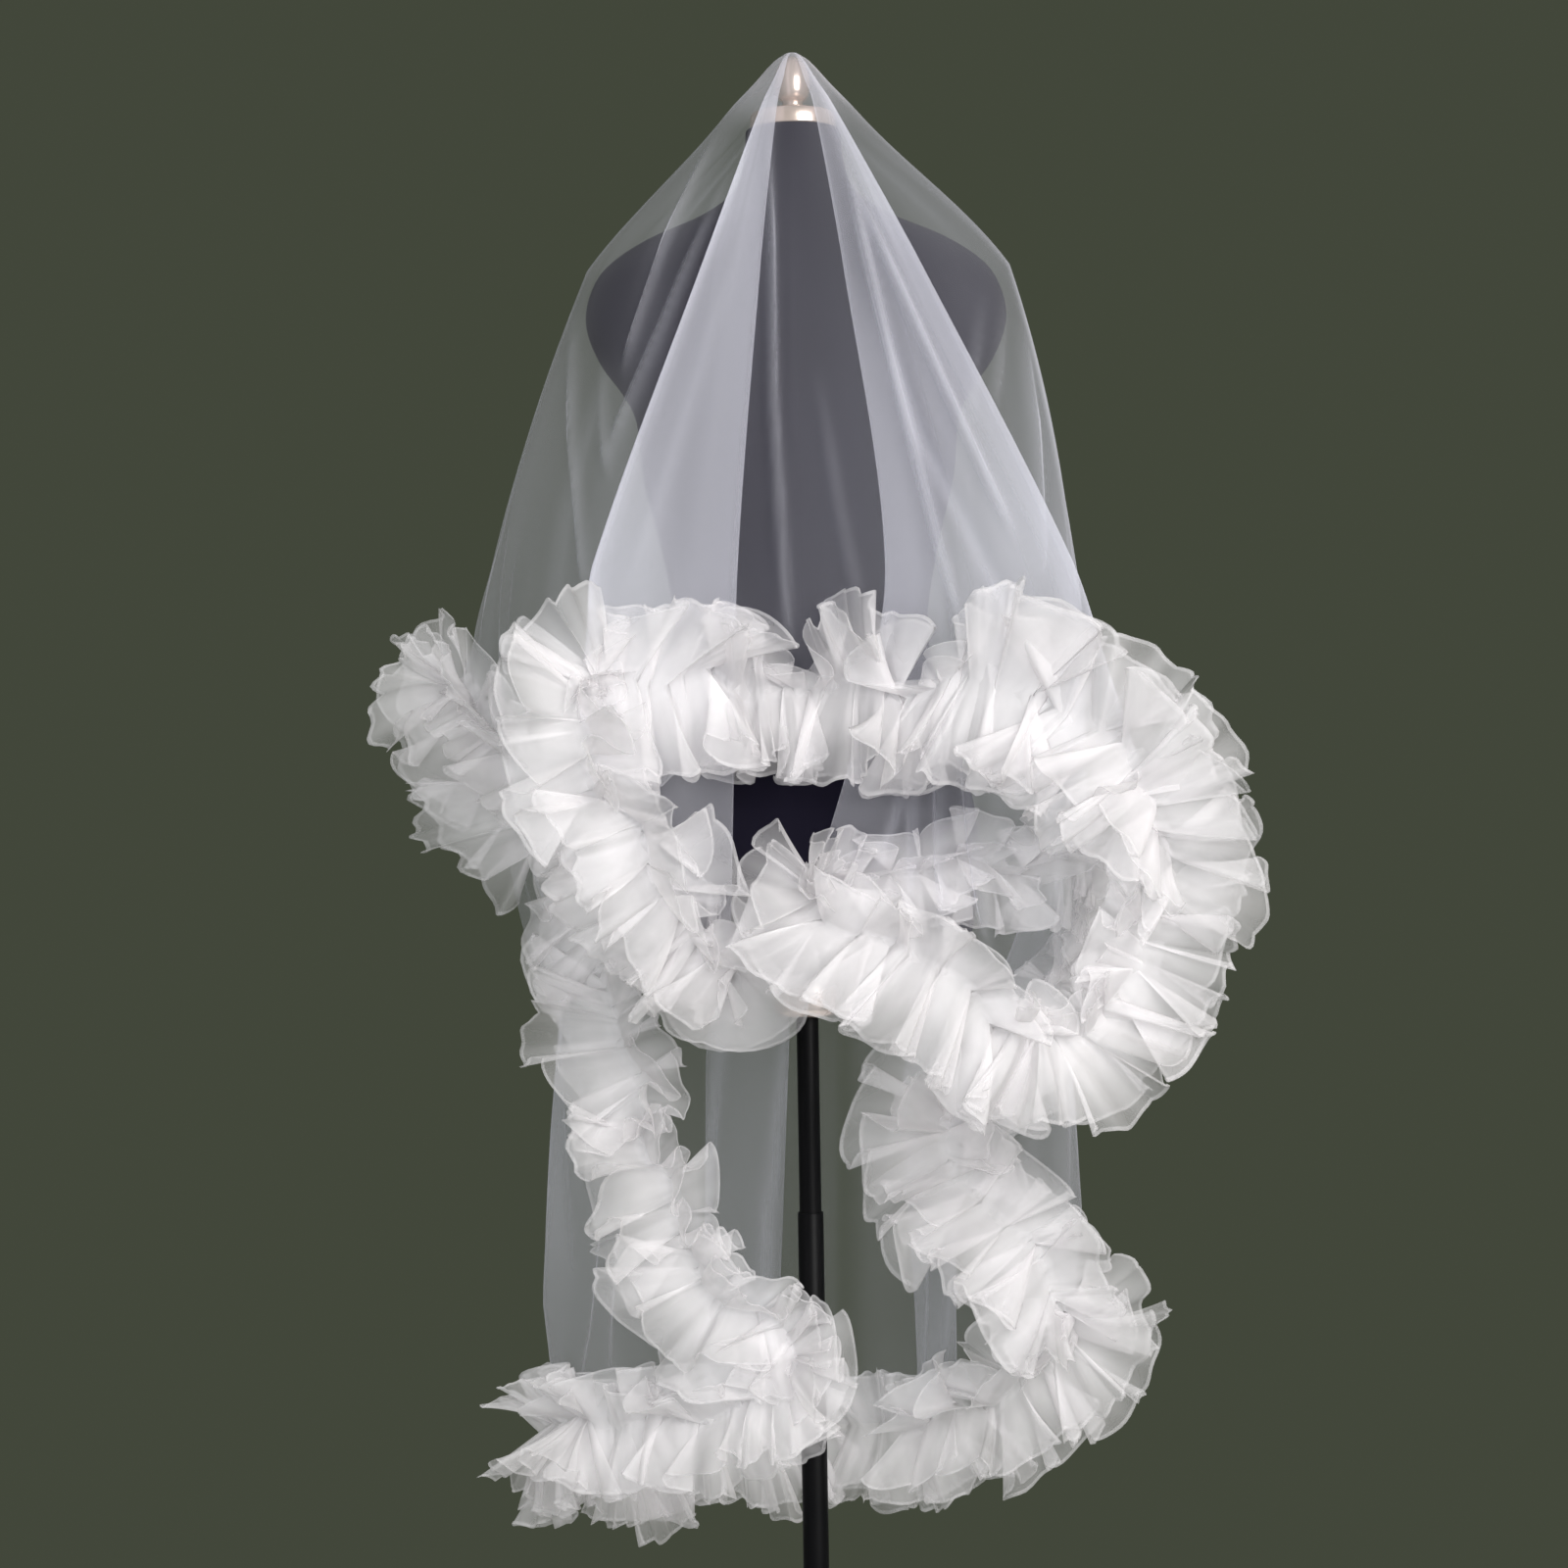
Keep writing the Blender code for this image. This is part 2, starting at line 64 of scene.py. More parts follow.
# %% Camera
CAMERA_AT = Vector((-0.0190, -3.0, 1.0751))
CAMERA_LEAN = math.radians(0.93)
VIEW_WIDTH = 1.52  # metres across at the form

right = Vector((math.cos(CAMERA_LEAN), 0, -math.sin(CAMERA_LEAN)))
up = Vector((math.sin(CAMERA_LEAN), 0, math.cos(CAMERA_LEAN)))
back = right.cross(up)
lens = bpy.data.cameras.new("camera")
lens.lens = lens.sensor_width * -CAMERA_AT.y / VIEW_WIDTH
camera = bpy.data.objects.new("camera", lens)
facing = Matrix((right, up, back)).transposed().to_4x4()
camera.matrix_world = Matrix.Translation(CAMERA_AT) @ facing
bpy.context.scene.collection.objects.link(camera)
bpy.context.scene.camera = camera
print("lens, mm:", round(lens.lens, 1))

# %% [markdown]
# ## Floor, air and lamps
#
# White net only shows against something darker, so the room is a plain dim grey-green and the
# floor is a pale round rostrum. Three soft boxes light it: the main one from the front right,
# a wide weaker one from the front left, and one high behind that catches the pleats' edges.
# Thin cloth is crossed by a ray many times, so the number of see-through surfaces that a ray
# may pass is raised well above the usual eight.

# %% Floor
FLOOR_RADIUS = 1.15

shape = bmesh.new()
bmesh.ops.create_circle(shape, cap_ends=True, segments=128, radius=FLOOR_RADIUS)
bmesh.ops.translate(shape, vec=(0, 0, -0.0005), verts=shape.verts)
floor_mesh = bpy.data.meshes.new("floor")
shape.to_mesh(floor_mesh)
shape.free()
floor = bpy.data.objects.new("floor", floor_mesh)
bpy.context.scene.collection.objects.link(floor)

paint = bpy.data.materials.new("pale_floor")
paint.use_nodes = True
paint.node_tree.nodes["Principled BSDF"].inputs["Base Color"].default_value = (0.55, 0.55, 0.53, 1)
paint.node_tree.nodes["Principled BSDF"].inputs["Roughness"].default_value = 0.7
floor_mesh.materials.append(paint)

# %% Air
scene = bpy.context.scene
scene.view_settings.view_transform = "Standard"
scene.cycles.transparent_max_bounces = 36
scene.cycles.max_bounces = 4
scene.cycles.diffuse_bounces = 2
air = bpy.data.worlds.new("air")
air.use_nodes = True
air.node_tree.nodes["Background"].inputs["Color"].default_value = (0.055, 0.063, 0.043, 1)
air.node_tree.nodes["Background"].inputs["Strength"].default_value = 1.0
scene.world = air

# %% Lamps
Lamp = namedtuple("Lamp", "name place aim size watts colour mirrored")
LAMPS = (
    Lamp("main_soft_box", (1.55, -2.50, 1.95), (0, 0, 1.15), 1.7, 100, (1.0, 0.985, 0.97), True),
    Lamp("wide_soft_box", (-0.40, -3.15, 1.40), (0, 0, 1.05), 2.4, 86, (0.96, 0.98, 1.0), False),
    Lamp("back_soft_box", (-0.30, 1.90, 2.70), (0, 0, 1.20), 1.2, 38, (0.95, 0.98, 1.0), False),
)
for lamp in LAMPS:
    light = bpy.data.lights.new(lamp.name, "AREA")
    light.size = lamp.size
    light.energy = lamp.watts
    light.color = lamp.colour
    box = bpy.data.objects.new(lamp.name, light)
    box.location = lamp.place
    box.visible_glossy = lamp.mirrored  # only one lamp shows in the polished metal
    aim = Vector(lamp.aim) - box.location
    box.rotation_euler = aim.to_track_quat("-Z", "Y").to_euler()
    scene.collection.objects.link(box)
print("lamps:", [lamp.name for lamp in LAMPS])

# %% [markdown]
# ## Finishes of the stand and the form
#
# A finish is a small graph of nodes. Patterns read Object coordinates, which are metres here,
# so a scale of 1000 means something about a millimetre across. Satin paint gets a fine orange
# peel, polished plating gets hair-fine turning marks, and the form's jersey cover gets a knit
# of tiny ribs with a soft sheen.


# %% A helper for node graphs
def new_finish(name, colour, roughness, metallic=0.0):
    """A material with one Principled shader; returns it, its tree and the shader."""
    made = bpy.data.materials.new(name)
    made.use_nodes = True
    tree = made.node_tree
    surface = tree.nodes["Principled BSDF"]
    surface.inputs["Base Color"].default_value = (*colour, 1)
    surface.inputs["Roughness"].default_value = roughness
    surface.inputs["Metallic"].default_value = metallic
    return made, tree, surface


def node(tree, kind, **sockets):
    """A node of one kind with its inputs set by name, or linked where given an output."""
    made = tree.nodes.new(kind)
    for name, value in sockets.items():
        socket = made.inputs[name.replace("_", " ")]
        if isinstance(value, bpy.types.NodeSocket):
            tree.links.new(value, socket)
        else:
            socket.default_value = value
    return made


def arithmetic(tree, operation, first, second=0.0, third=0.0):
    """A Math node; returns its output."""
    made = tree.nodes.new("ShaderNodeMath")
    made.operation = operation
    for socket, value in zip(made.inputs, (first, second, third)):
        if isinstance(value, bpy.types.NodeSocket):
            tree.links.new(value, socket)
        else:
            socket.default_value = value
    return made.outputs[0]


# %% Satin black paint
black_paint, tree, surface = new_finish("satin_black_paint", (0.003, 0.003, 0.0035), 0.45)
surface.inputs["Specular IOR Level"].default_value = 0.12
where = tree.nodes.new("ShaderNodeTexCoord").outputs["Object"]
peel = node(tree, "ShaderNodeTexNoise", Vector=where, Scale=900.0, Detail=2.0)
bump = node(tree, "ShaderNodeBump", Height=peel.outputs["Fac"], Strength=0.06, Distance=0.0004)
tree.links.new(bump.outputs["Normal"], surface.inputs["Normal"])
dust = node(tree, "ShaderNodeTexNoise", Vector=where, Scale=35.0, Detail=5.0)
tree.links.new(
    arithmetic(tree, "MULTIPLY_ADD", dust.outputs["Fac"], 0.16, 0.34), surface.inputs["Roughness"]
)

# %% Champagne plating
champagne, tree, surface = new_finish("champagne_plating", (0.80, 0.66, 0.58), 0.26, metallic=0.72)
where = tree.nodes.new("ShaderNodeTexCoord").outputs["Object"]
stretched = node(tree, "ShaderNodeMapping", Vector=where, Scale=(60.0, 60.0, 4000.0))
marks = node(tree, "ShaderNodeTexNoise", Vector=stretched.outputs["Vector"], Scale=1.0, Detail=3.0)
tree.links.new(
    arithmetic(tree, "MULTIPLY_ADD", marks.outputs["Fac"], 0.12, 0.18), surface.inputs["Roughness"]
)
bump = node(tree, "ShaderNodeBump", Height=marks.outputs["Fac"], Strength=0.05, Distance=0.0003)
tree.links.new(bump.outputs["Normal"], surface.inputs["Normal"])

# %% Black jersey with a centre seam
jersey, tree, surface = new_finish("black_jersey", (0.006, 0.006, 0.013), 0.85)
surface.inputs["Specular IOR Level"].default_value = 0.12
surface.inputs["Sheen Weight"].default_value = 0.01
surface.inputs["Sheen Roughness"].default_value = 0.5
where = tree.nodes.new("ShaderNodeTexCoord").outputs["Object"]
knit = node(tree, "ShaderNodeTexWave", Vector=where, Scale=420.0, Distortion=1.5, Detail=1.0)
blotch = node(tree, "ShaderNodeTexNoise", Vector=where, Scale=9.0, Detail=4.0)
across = tree.nodes.new("ShaderNodeSeparateXYZ")
tree.links.new(where, across.inputs["Vector"])
from_centre = arithmetic(tree, "ABSOLUTE", across.outputs["X"])
seam = arithmetic(tree, "LESS_THAN", from_centre, 0.0008)
height = arithmetic(tree, "MULTIPLY_ADD", knit.outputs["Fac"], 0.3, 0.0)
height = arithmetic(tree, "SUBTRACT", height, arithmetic(tree, "MULTIPLY", seam, 3.0))
bump = node(tree, "ShaderNodeBump", Height=height, Strength=0.5, Distance=0.0006)
tree.links.new(bump.outputs["Normal"], surface.inputs["Normal"])
shades = tree.nodes.new("ShaderNodeMix")
shades.data_type = "RGBA"
shades.inputs["A"].default_value = (0.004, 0.003, 0.008, 1)
shades.inputs["B"].default_value = (0.009, 0.008, 0.017, 1)
tree.links.new(blotch.outputs["Fac"], shades.inputs["Factor"])
tree.links.new(shades.outputs["Result"], surface.inputs["Base Color"])
print("finishes:", black_paint.name, champagne.name, jersey.name)

# %% [markdown]
# ## The stand and the metal cap
#
# All of these are turned on a lathe, so each is a profile spun round the pole's axis. The
# profile gets its small roundings from a bevel after the spin, which is how the light finds
# an edge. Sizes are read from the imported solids, so each turned piece stands where the solid
# that it replaces does.


# %% Spin a profile into a piece
SPIN_STEPS = 96


def show(name, shape, body, slot, finish, *nodes):
    """Makes a finished piece from a bmesh: smooth, on its body, in place of its solids."""
    mesh = bpy.data.meshes.new(name)
    shape.to_mesh(mesh)
    shape.free()
    piece = bpy.data.objects.new(name, mesh)
    scene.collection.objects.link(piece)
    mesh.materials.append(finish)
    mesh.shade_smooth()
    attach(piece, body)
    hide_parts(*nodes)
    return piece


def spun(name, profile, body, slot, finish, *nodes, edge=0.0006, sharp=35):
    """Spins (radius, height) points once round the pole and rounds the sharp edges."""
    shape = bmesh.new()
    points = [shape.verts.new((radius, 0, height)) for radius, height in profile]
    edges = [shape.edges.new(pair) for pair in zip(points, points[1:])]
    bmesh.ops.spin(
        shape,
        geom=points + edges,
        axis=(0, 0, 1),
        cent=(0, 0, 0),
        steps=SPIN_STEPS,
        angle=2 * math.pi,
        use_merge=True,
    )
    bmesh.ops.remove_doubles(shape, verts=shape.verts, dist=0.00001)
    bmesh.ops.recalc_face_normals(shape, faces=shape.faces)
    if edge:
        corners = [
            e for e in shape.edges if e.is_manifold and e.calc_face_angle() > math.radians(sharp)
        ]
        bmesh.ops.bevel(
            shape,
            geom=corners,
            offset=edge,
            segments=2,
            profile=0.5,
            affect="EDGES",
            material=-1,
            clamp_overlap=True,
        )
    print(name, "faces:", len(shape.faces))
    return show(name, shape, body, slot, finish, *nodes)


# %% Base and poles
base_low, base_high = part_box("base_disc")
lower_low, lower_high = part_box("lower_pole")
upper_low, upper_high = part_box("upper_pole")
BASE_RADIUS = base_high.x
LOWER_RADIUS = lower_high.x
UPPER_RADIUS = upper_high.x

spun(
    "weighted_base",
    [
        (0, 0),
        (BASE_RADIUS - 0.0015, 0),
        (BASE_RADIUS, 0.0015),
        (BASE_RADIUS, 0.006),
        (BASE_RADIUS - 0.004, 0.0078),
        (BASE_RADIUS - 0.012, 0.009),
        (0.028, 0.015),
        (0.0235, 0.0165),
        (0.022, 0.020),
        (0.022, base_high.z),
        (LOWER_RADIUS + 0.0003, base_high.z),
        (LOWER_RADIUS + 0.0003, base_high.z - 0.004),
    ],
    "stand",
    "black_paint",
    black_paint,
    "base_disc",
)
spun(
    "lower_tube",
    [
        (LOWER_RADIUS, lower_low.z),
        (LOWER_RADIUS, lower_high.z),
        (UPPER_RADIUS + 0.0004, lower_high.z),
        (UPPER_RADIUS + 0.0004, lower_high.z - 0.030),
    ],
    "stand",
    "black_paint",
    black_paint,
    "lower_pole",
)
spun(
    "upper_tube",
    [
        (0, upper_low.z),
        (UPPER_RADIUS, upper_low.z),
        (UPPER_RADIUS, upper_high.z),
        (0, upper_high.z),
    ],
    "form",
    "black_paint",
    black_paint,
    "upper_pole",
)

# %% Collar under the form, neck plate and knob
collar_low, collar_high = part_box("bottom_collar")
COLLAR_RADIUS = collar_high.x
collar_turns = [math.radians(18 * i) for i in range(6)]
spun(
    "collar",
    [
        (UPPER_RADIUS + 0.0003, collar_low.z),
        *[
            (
                COLLAR_RADIUS - 0.010 * (1 - math.sin(t)),
                collar_low.z + 0.010 * (1 - math.cos(t)),
            )
            for t in collar_turns
        ],
        (COLLAR_RADIUS, collar_high.z),
        (UPPER_RADIUS + 0.0003, collar_high.z),
    ],
    "form",
    "champagne_metal",
    champagne,
    "bottom_collar",
)

plate_low, plate_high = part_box("neck_plate")
PLATE_RADIUS = plate_high.x
spun(
    "neck_cap",
    [
        (0, plate_low.z),
        (PLATE_RADIUS - 0.001, plate_low.z),
        (PLATE_RADIUS, plate_low.z + 0.001),
        (PLATE_RADIUS, plate_high.z - 0.004),
        (PLATE_RADIUS - 0.0012, plate_high.z - 0.0012),
        (PLATE_RADIUS - 0.004, plate_high.z),
        (0.018, plate_high.z),
        (0, plate_high.z),
    ],
    "form",
    "champagne_metal",
    champagne,
    "neck_plate",
)

knob_low, knob_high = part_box("finial")
KNOB_RADIUS = knob_high.x
KNOB_WIDEST = 1.754
KNOB_UNDER = 1.7365
dome = [math.radians(90 * i / 16) for i in range(17)]
under = [math.radians(90 * i / 8) for i in range(1, 9)]
spun(
    "knob",
    [
        (0, knob_low.z),
        (0.0128, knob_low.z),
        (0.0125, knob_low.z + 0.0020),
        (0.0105, knob_low.z + 0.0045),
        (0.0098, KNOB_UNDER - 0.0010),
        *[
            (
                0.0105 + (KNOB_RADIUS - 0.0105) * math.sin(t),
                KNOB_WIDEST - 0.0010 - (KNOB_WIDEST - 0.0010 - KNOB_UNDER) * math.cos(t),
            )
            for t in under
        ],
        *[
            (KNOB_RADIUS * math.cos(t), KNOB_WIDEST + (knob_high.z - KNOB_WIDEST) * math.sin(t))
            for t in dome
        ],
    ],
    "form",
    "champagne_metal",
    champagne,
    "finial",
    edge=0.0,
)

# %% [markdown]
# ## The padded form
#
# The form is a lofted body. Its sections are flattened rounds, wide at the shoulder plates,
# narrow at the waist and wide again at the hips, and squarer at the shoulders. The body is
# rolled from a flat grid: a column of the grid is one place round the body, a row is one
# section, and each point of the grid moves to its place. That keeps the faces in even rows,
# which a knitted cover needs to shade well, and the same helper later drapes the tulle.


# %% A grid that is rolled, draped or pleated
def laid_grid(columns, rows, place, gathered=None):
    """A grid of columns by rows faces, each corner moved to place(column, row), with a UV map
    in shares of the grid. Given gathered(column, row), the corners keep that value too."""
    made = bmesh.new()
    made.loops.layers.uv.new("cut")
    kept = made.verts.layers.float.new("gathered") if gathered else None
    bmesh.ops.create_grid(made, x_segments=columns, y_segments=rows, size=0.5, calc_uvs=True)
    for corner in made.verts:
        column = round((corner.co.x + 0.5) * columns)
        row = round((corner.co.y + 0.5) * rows)
        corner.co = place(column, row)
        if gathered:
            corner[kept] = gathered(column, row)
    return made


def smooth(before, start, end, after, t):
    """The value a share t of the way from start to end on a curve through all four."""
    out = (end - before) / 2
    into = (after - start) / 2
    return (
        start * (2 * t**3 - 3 * t**2 + 1)
        + out * (t**3 - 2 * t**2 + t)
        + end * (3 * t**2 - 2 * t**3)
        + into * (t**3 - t**2)
    )


# %% Sections of the form
Section = namedtuple("Section", "z half_width front back power")
FORM_SECTIONS = (
    Section(0.888, 0.136, 0.082, 0.086, 2.1),
    Section(0.915, 0.156, 0.094, 0.102, 2.1),
    Section(0.960, 0.166, 0.100, 0.110, 2.1),
    Section(1.028, 0.168, 0.100, 0.112, 2.1),
    Section(1.090, 0.156, 0.096, 0.102, 2.1),
    Section(1.160, 0.134, 0.088, 0.086, 2.1),
    Section(1.227, 0.1225, 0.083, 0.077, 2.1),
    Section(1.300, 0.133, 0.088, 0.080, 2.1),
    Section(1.370, 0.150, 0.100, 0.087, 2.1),
    Section(1.427, 0.156, 0.104, 0.091, 2.1),
    Section(1.456, 0.170, 0.101, 0.092, 2.2),
    Section(1.484, 0.190, 0.095, 0.092, 2.3),
    Section(1.518, 0.203, 0.086, 0.090, 2.4),
    Section(1.548, 0.200, 0.078, 0.085, 2.4),
    Section(1.576, 0.184, 0.070, 0.079, 2.3),
    Section(1.602, 0.146, 0.063, 0.072, 2.2),
    Section(1.626, 0.090, 0.058, 0.062, 2.1),
    Section(1.650, 0.058, 0.052, 0.054, 2.0),
    Section(1.680, 0.048, 0.048, 0.048, 2.0),
    Section(1.708, 0.046, 0.046, 0.046, 2.0),
)
FORM_COLUMNS = 120
RINGS_PER_SECTION = 4

rows = [np.array(section) for section in FORM_SECTIONS]
ends = [rows[0], *rows, rows[-1]]
form_rings = [
    smooth(*ends[i : i + 4], k / RINGS_PER_SECTION)
    for i in range(len(rows) - 1)
    for k in range(RINGS_PER_SECTION)
] + [rows[-1]]


def on_form(column, row):
    """A point of the form: the row's section, at the column's angle round from the back."""
    z, half_width, front, depth_behind, power = form_rings[row]
    turn = 2 * math.pi * column / FORM_COLUMNS + math.pi / 2
    across, along = math.cos(turn), math.sin(turn)
    depth = depth_behind if along > 0 else front
    return Vector(
        (
            half_width * math.copysign(abs(across) ** (2 / power), across),
            depth * math.copysign(abs(along) ** (2 / power), along),
            z,
        )
    )


# %% Roll the form and close its ends
shape = laid_grid(FORM_COLUMNS, len(form_rings) - 1, on_form)
bmesh.ops.remove_doubles(shape, verts=shape.verts, dist=0.00001)
bmesh.ops.holes_fill(shape, edges=[e for e in shape.edges if e.is_boundary], sides=0)
bmesh.ops.recalc_face_normals(shape, faces=shape.faces)
rims = [e for e in shape.edges if e.is_manifold and e.calc_face_angle() > math.radians(50)]
bmesh.ops.bevel(
    shape, geom=rims, offset=0.002, segments=3, profile=0.5, affect="EDGES", material=-1
)
print("form cover faces:", len(shape.faces))
show("form_cover", shape, "form", "form_cover", jersey, "form_torso")

# %% [markdown]
# ## The sheet of tulle
#
# The sheet is one rounded rectangle. It lies on the knob, falls over the shoulders and hangs
# down to its edge, short in front and long behind. Its folds are lines that run from the knob
# to the edge, so the drape is a table of folds, taken once round the edge: each one passes the
# shoulder ring, the waist ring and a half-way point, and ends on the edge. The front corners
# turn back on themselves: the cloth runs out to a crest, back in to a fold, and out again over
# the shoulder, which is why three layers lie on each other there and look so much whiter.
# A cloth simulation would find some drape, but not this one, so the folds are listed one by one.

# %% The table of folds
CROWN_Z = 1.7825
SHOULDER_Z = 1.575
WAIST_Z = 1.280
Ring = namedtuple("Ring", "z half_width half_depth room")
CROWN_RINGS = (
    Ring(CROWN_Z, 0.0060, 0.0060, 0.1),
    Ring(1.7740, 0.0180, 0.0180, 0.3),
    Ring(1.7530, 0.0370, 0.0300, 0.7),
    Ring(1.7240, 0.0640, 0.0520, 1.0),
)
Fold = namedtuple("Fold", "name shoulder waist swing edge")
FOLDS = (
    Fold("front_centre", (-0.005, -0.091), (-0.010, -0.148), (0, 0), (0.000, -0.165, 1.163)),
    Fold("front_right", (0.075, -0.103), (0.155, -0.178), (0, 0), (0.195, -0.256, 1.155)),
    Fold("crest_right", (0.108, -0.103), (0.240, -0.175), (0, 0), (0.295, -0.260, 1.074)),
    Fold("lobe_right_side", (0.106, -0.098), (0.234, -0.160), (0, 0), (0.318, -0.225, 0.990)),
    Fold("lobe_right_low", (0.098, -0.094), (0.198, -0.146), (0, 0), (0.279, -0.210, 0.889)),
    Fold("lobe_right_corner", (0.086, -0.092), (0.158, -0.139), (0, 0.02), (0.209, -0.235, 0.842)),
    Fold("lobe_right_front", (0.068, -0.089), (0.118, -0.134), (0, 0.03), (0.121, -0.270, 0.905)),
    Fold("fold_right", (0.043, -0.085), (0.078, -0.129), (0.01, 0.02), (0.003, -0.232, 0.975)),
    Fold("inner_right_1", (0.078, -0.079), (0.117, -0.118), (0, 0.01), (0.101, -0.160, 0.997)),
    Fold("inner_right_2", (0.120, -0.070), (0.178, -0.092), (0, 0), (0.196, -0.110, 1.001)),
    Fold("inner_right_side", (0.168, -0.055), (0.238, -0.040), (0, 0), (0.268, -0.030, 1.000)),
    Fold("side_right_top", (0.200, -0.025), (0.264, 0.015), (0, 0), (0.280, 0.035, 0.915)),
    Fold("side_right_back", (0.209, 0.008), (0.270, 0.050), (0.02, 0.03), (0.200, 0.035, 0.815)),
    Fold("side_right_turn", (0.206, 0.030), (0.266, 0.075), (0.05, 0.05), (0.129, 0.025, 0.757)),
    Fold("side_right_mid", (0.195, 0.048), (0.250, 0.095), (0.055, 0.06), (0.149, 0.005, 0.691)),
    Fold("side_right_low", (0.178, 0.062), (0.226, 0.115), (0.045, 0.06), (0.213, 0.000, 0.617)),
    Fold("corner_back_right", (0.150, 0.076), (0.190, 0.132), (0.03, 0.05), (0.254, 0.025, 0.541)),
    Fold("hem_right_1", (0.118, 0.086), (0.152, 0.146), (0.01, 0.03), (0.190, 0.060, 0.475)),
    Fold("hem_right_2", (0.082, 0.094), (0.105, 0.156), (0, 0.01), (0.105, 0.125, 0.432)),
    Fold("hem_centre", (0.030, 0.099), (0.030, 0.152), (0, 0.00), (0.020, 0.170, 0.418)),
    Fold("hem_left_1", (-0.030, 0.099), (-0.045, 0.160), (0, 0.00), (-0.085, 0.190, 0.405)),
    Fold("hem_left_2", (-0.078, 0.094), (-0.120, 0.152), (0, 0.00), (-0.185, 0.185, 0.398)),
    Fold("corner_back_left", (-0.12, 0.083), (-0.19, 0.134), (0.01, 0.03), (-0.258, 0.095, 0.43)),
    Fold("left_low_1", (-0.148, 0.072), (-0.236, 0.110), (-0.020, 0.065), (-0.222, 0.000, 0.464)),
    Fold("left_low_2", (-0.165, 0.062), (-0.262, 0.090), (-0.070, 0.090), (-0.110, -0.062, 0.478)),
    Fold("fold_left_low", (-0.182, 0.048), (-0.28, 0.07), (-0.115, 0.105), (-0.012, -0.098, 0.535)),
    Fold("side_left_1", (-0.193, 0.034), (-0.290, 0.050), (-0.075, 0.100), (-0.098, -0.100, 0.610)),
    Fold("side_left_2", (-0.199, 0.020), (-0.295, 0.036), (-0.060, 0.085), (-0.140, -0.085, 0.715)),
    Fold("side_left_3", (-0.202, 0.008), (-0.298, 0.022), (-0.050, 0.070), (-0.178, -0.062, 0.850)),
    Fold("side_left_4", (-0.2, -0.008), (-0.3, 0.006), (-0.05, 0.055), (-0.23, -0.03, 1.0)),
    Fold("side_left_top", (-0.188, -0.030), (-0.294, -0.012), (0, 0), (-0.335, 0.025, 1.175)),
    Fold("inner_left_1", (-0.150, -0.058), (-0.225, -0.066), (0, 0), (-0.262, -0.070, 1.100)),
    Fold("inner_left_2", (-0.100, -0.074), (-0.145, -0.104), (0, 0), (-0.165, -0.140, 1.000)),
    Fold("fold_left", (-0.034, -0.085), (-0.060, -0.130), (0, 0), (-0.072, -0.190, 0.912)),
    Fold("lobe_left_low", (-0.052, -0.090), (-0.093, -0.138), (0, 0), (-0.108, -0.230, 0.954)),
    Fold("lobe_left_mid", (-0.067, -0.095), (-0.137, -0.148), (0, 0), (-0.153, -0.265, 1.038)),
    Fold("lobe_left_high", (-0.079, -0.101), (-0.175, -0.162), (0, 0), (-0.192, -0.262, 1.112)),
    Fold("crest_left", (-0.081, -0.106), (-0.187, -0.175), (0, 0), (-0.190, -0.248, 1.172)),
    Fold("front_left", (-0.048, -0.100), (-0.120, -0.172), (0, 0), (-0.105, -0.205, 1.172)),
)

# %% [markdown]
# ## From the table to a smooth drape
#
# Between two folds of the table the cloth follows a smooth curve, and along one fold too, so
# the whole sheet is a grid: a column for each place round the edge, a row for each height.
# The columns are about 5.6 mm apart along the edge, where the ruffle will be sewn.

# %% Columns and rows of the sheet
COLUMN_SPACING = 0.0056
LEAST_COLUMNS = 8
SPAN_ROWS = (3, 3, 4, 14, 26, 26, 22)  # rows from one ring to the next, from the knob down
TO_SHOULDER = 3  # the span that ends on the shoulder, where the cloth bends over the form
SHOULDER_BEND = 0.5  # 1 is a sharp bend, 0 is none
FRONT_SPREAD = 0.35  # how much wider the folds in front fan out on the knob
LAYER_ROOM = 0.0030  # the front layers lie this much further out than the back ones

fold_edges = [Vector(fold.edge) for fold in FOLDS]
columns = []  # fold number and share of the way to the next
for i, (here, there) in enumerate(zip(fold_edges, fold_edges[1:] + fold_edges[:1])):
    count = max(LEAST_COLUMNS, round((there - here).length / COLUMN_SPACING))
    columns += [i + k / count for k in range(count)]
columns = np.array(columns)
print("sheet columns:", len(columns), "rows:", sum(SPAN_ROWS))


def along_folds(part):
    """One part of the fold table at every column, smoothly between the folds."""
    table = np.array([getattr(fold, part) for fold in FOLDS], float)
    near = columns.astype(int)
    around = [table[(near + k) % len(FOLDS)] for k in (-1, 0, 1, 2)]
    return smooth(*around, (columns - near)[:, None])


def crown_turns(shoulder, edge):
    """Where each column leaves the knob, in radians from the front towards +X, by the side of
    the shoulder that it passes. Where the folds below turn back, so do they here."""
    steps = np.linalg.norm(np.roll(edge, -1, axis=0) - edge, axis=1)
    by_length = 2 * math.pi * (np.cumsum(steps) - steps) / steps.sum()
    side = np.arctan2(shoulder[:, 0] / 0.20, -shoulder[:, 1] / 0.09) % (2 * math.pi)
    side = np.where(side - by_length > math.pi, side - 2 * math.pi, side)
    return side + FRONT_SPREAD * np.sin(side), LAYER_ROOM * np.cos(by_length)


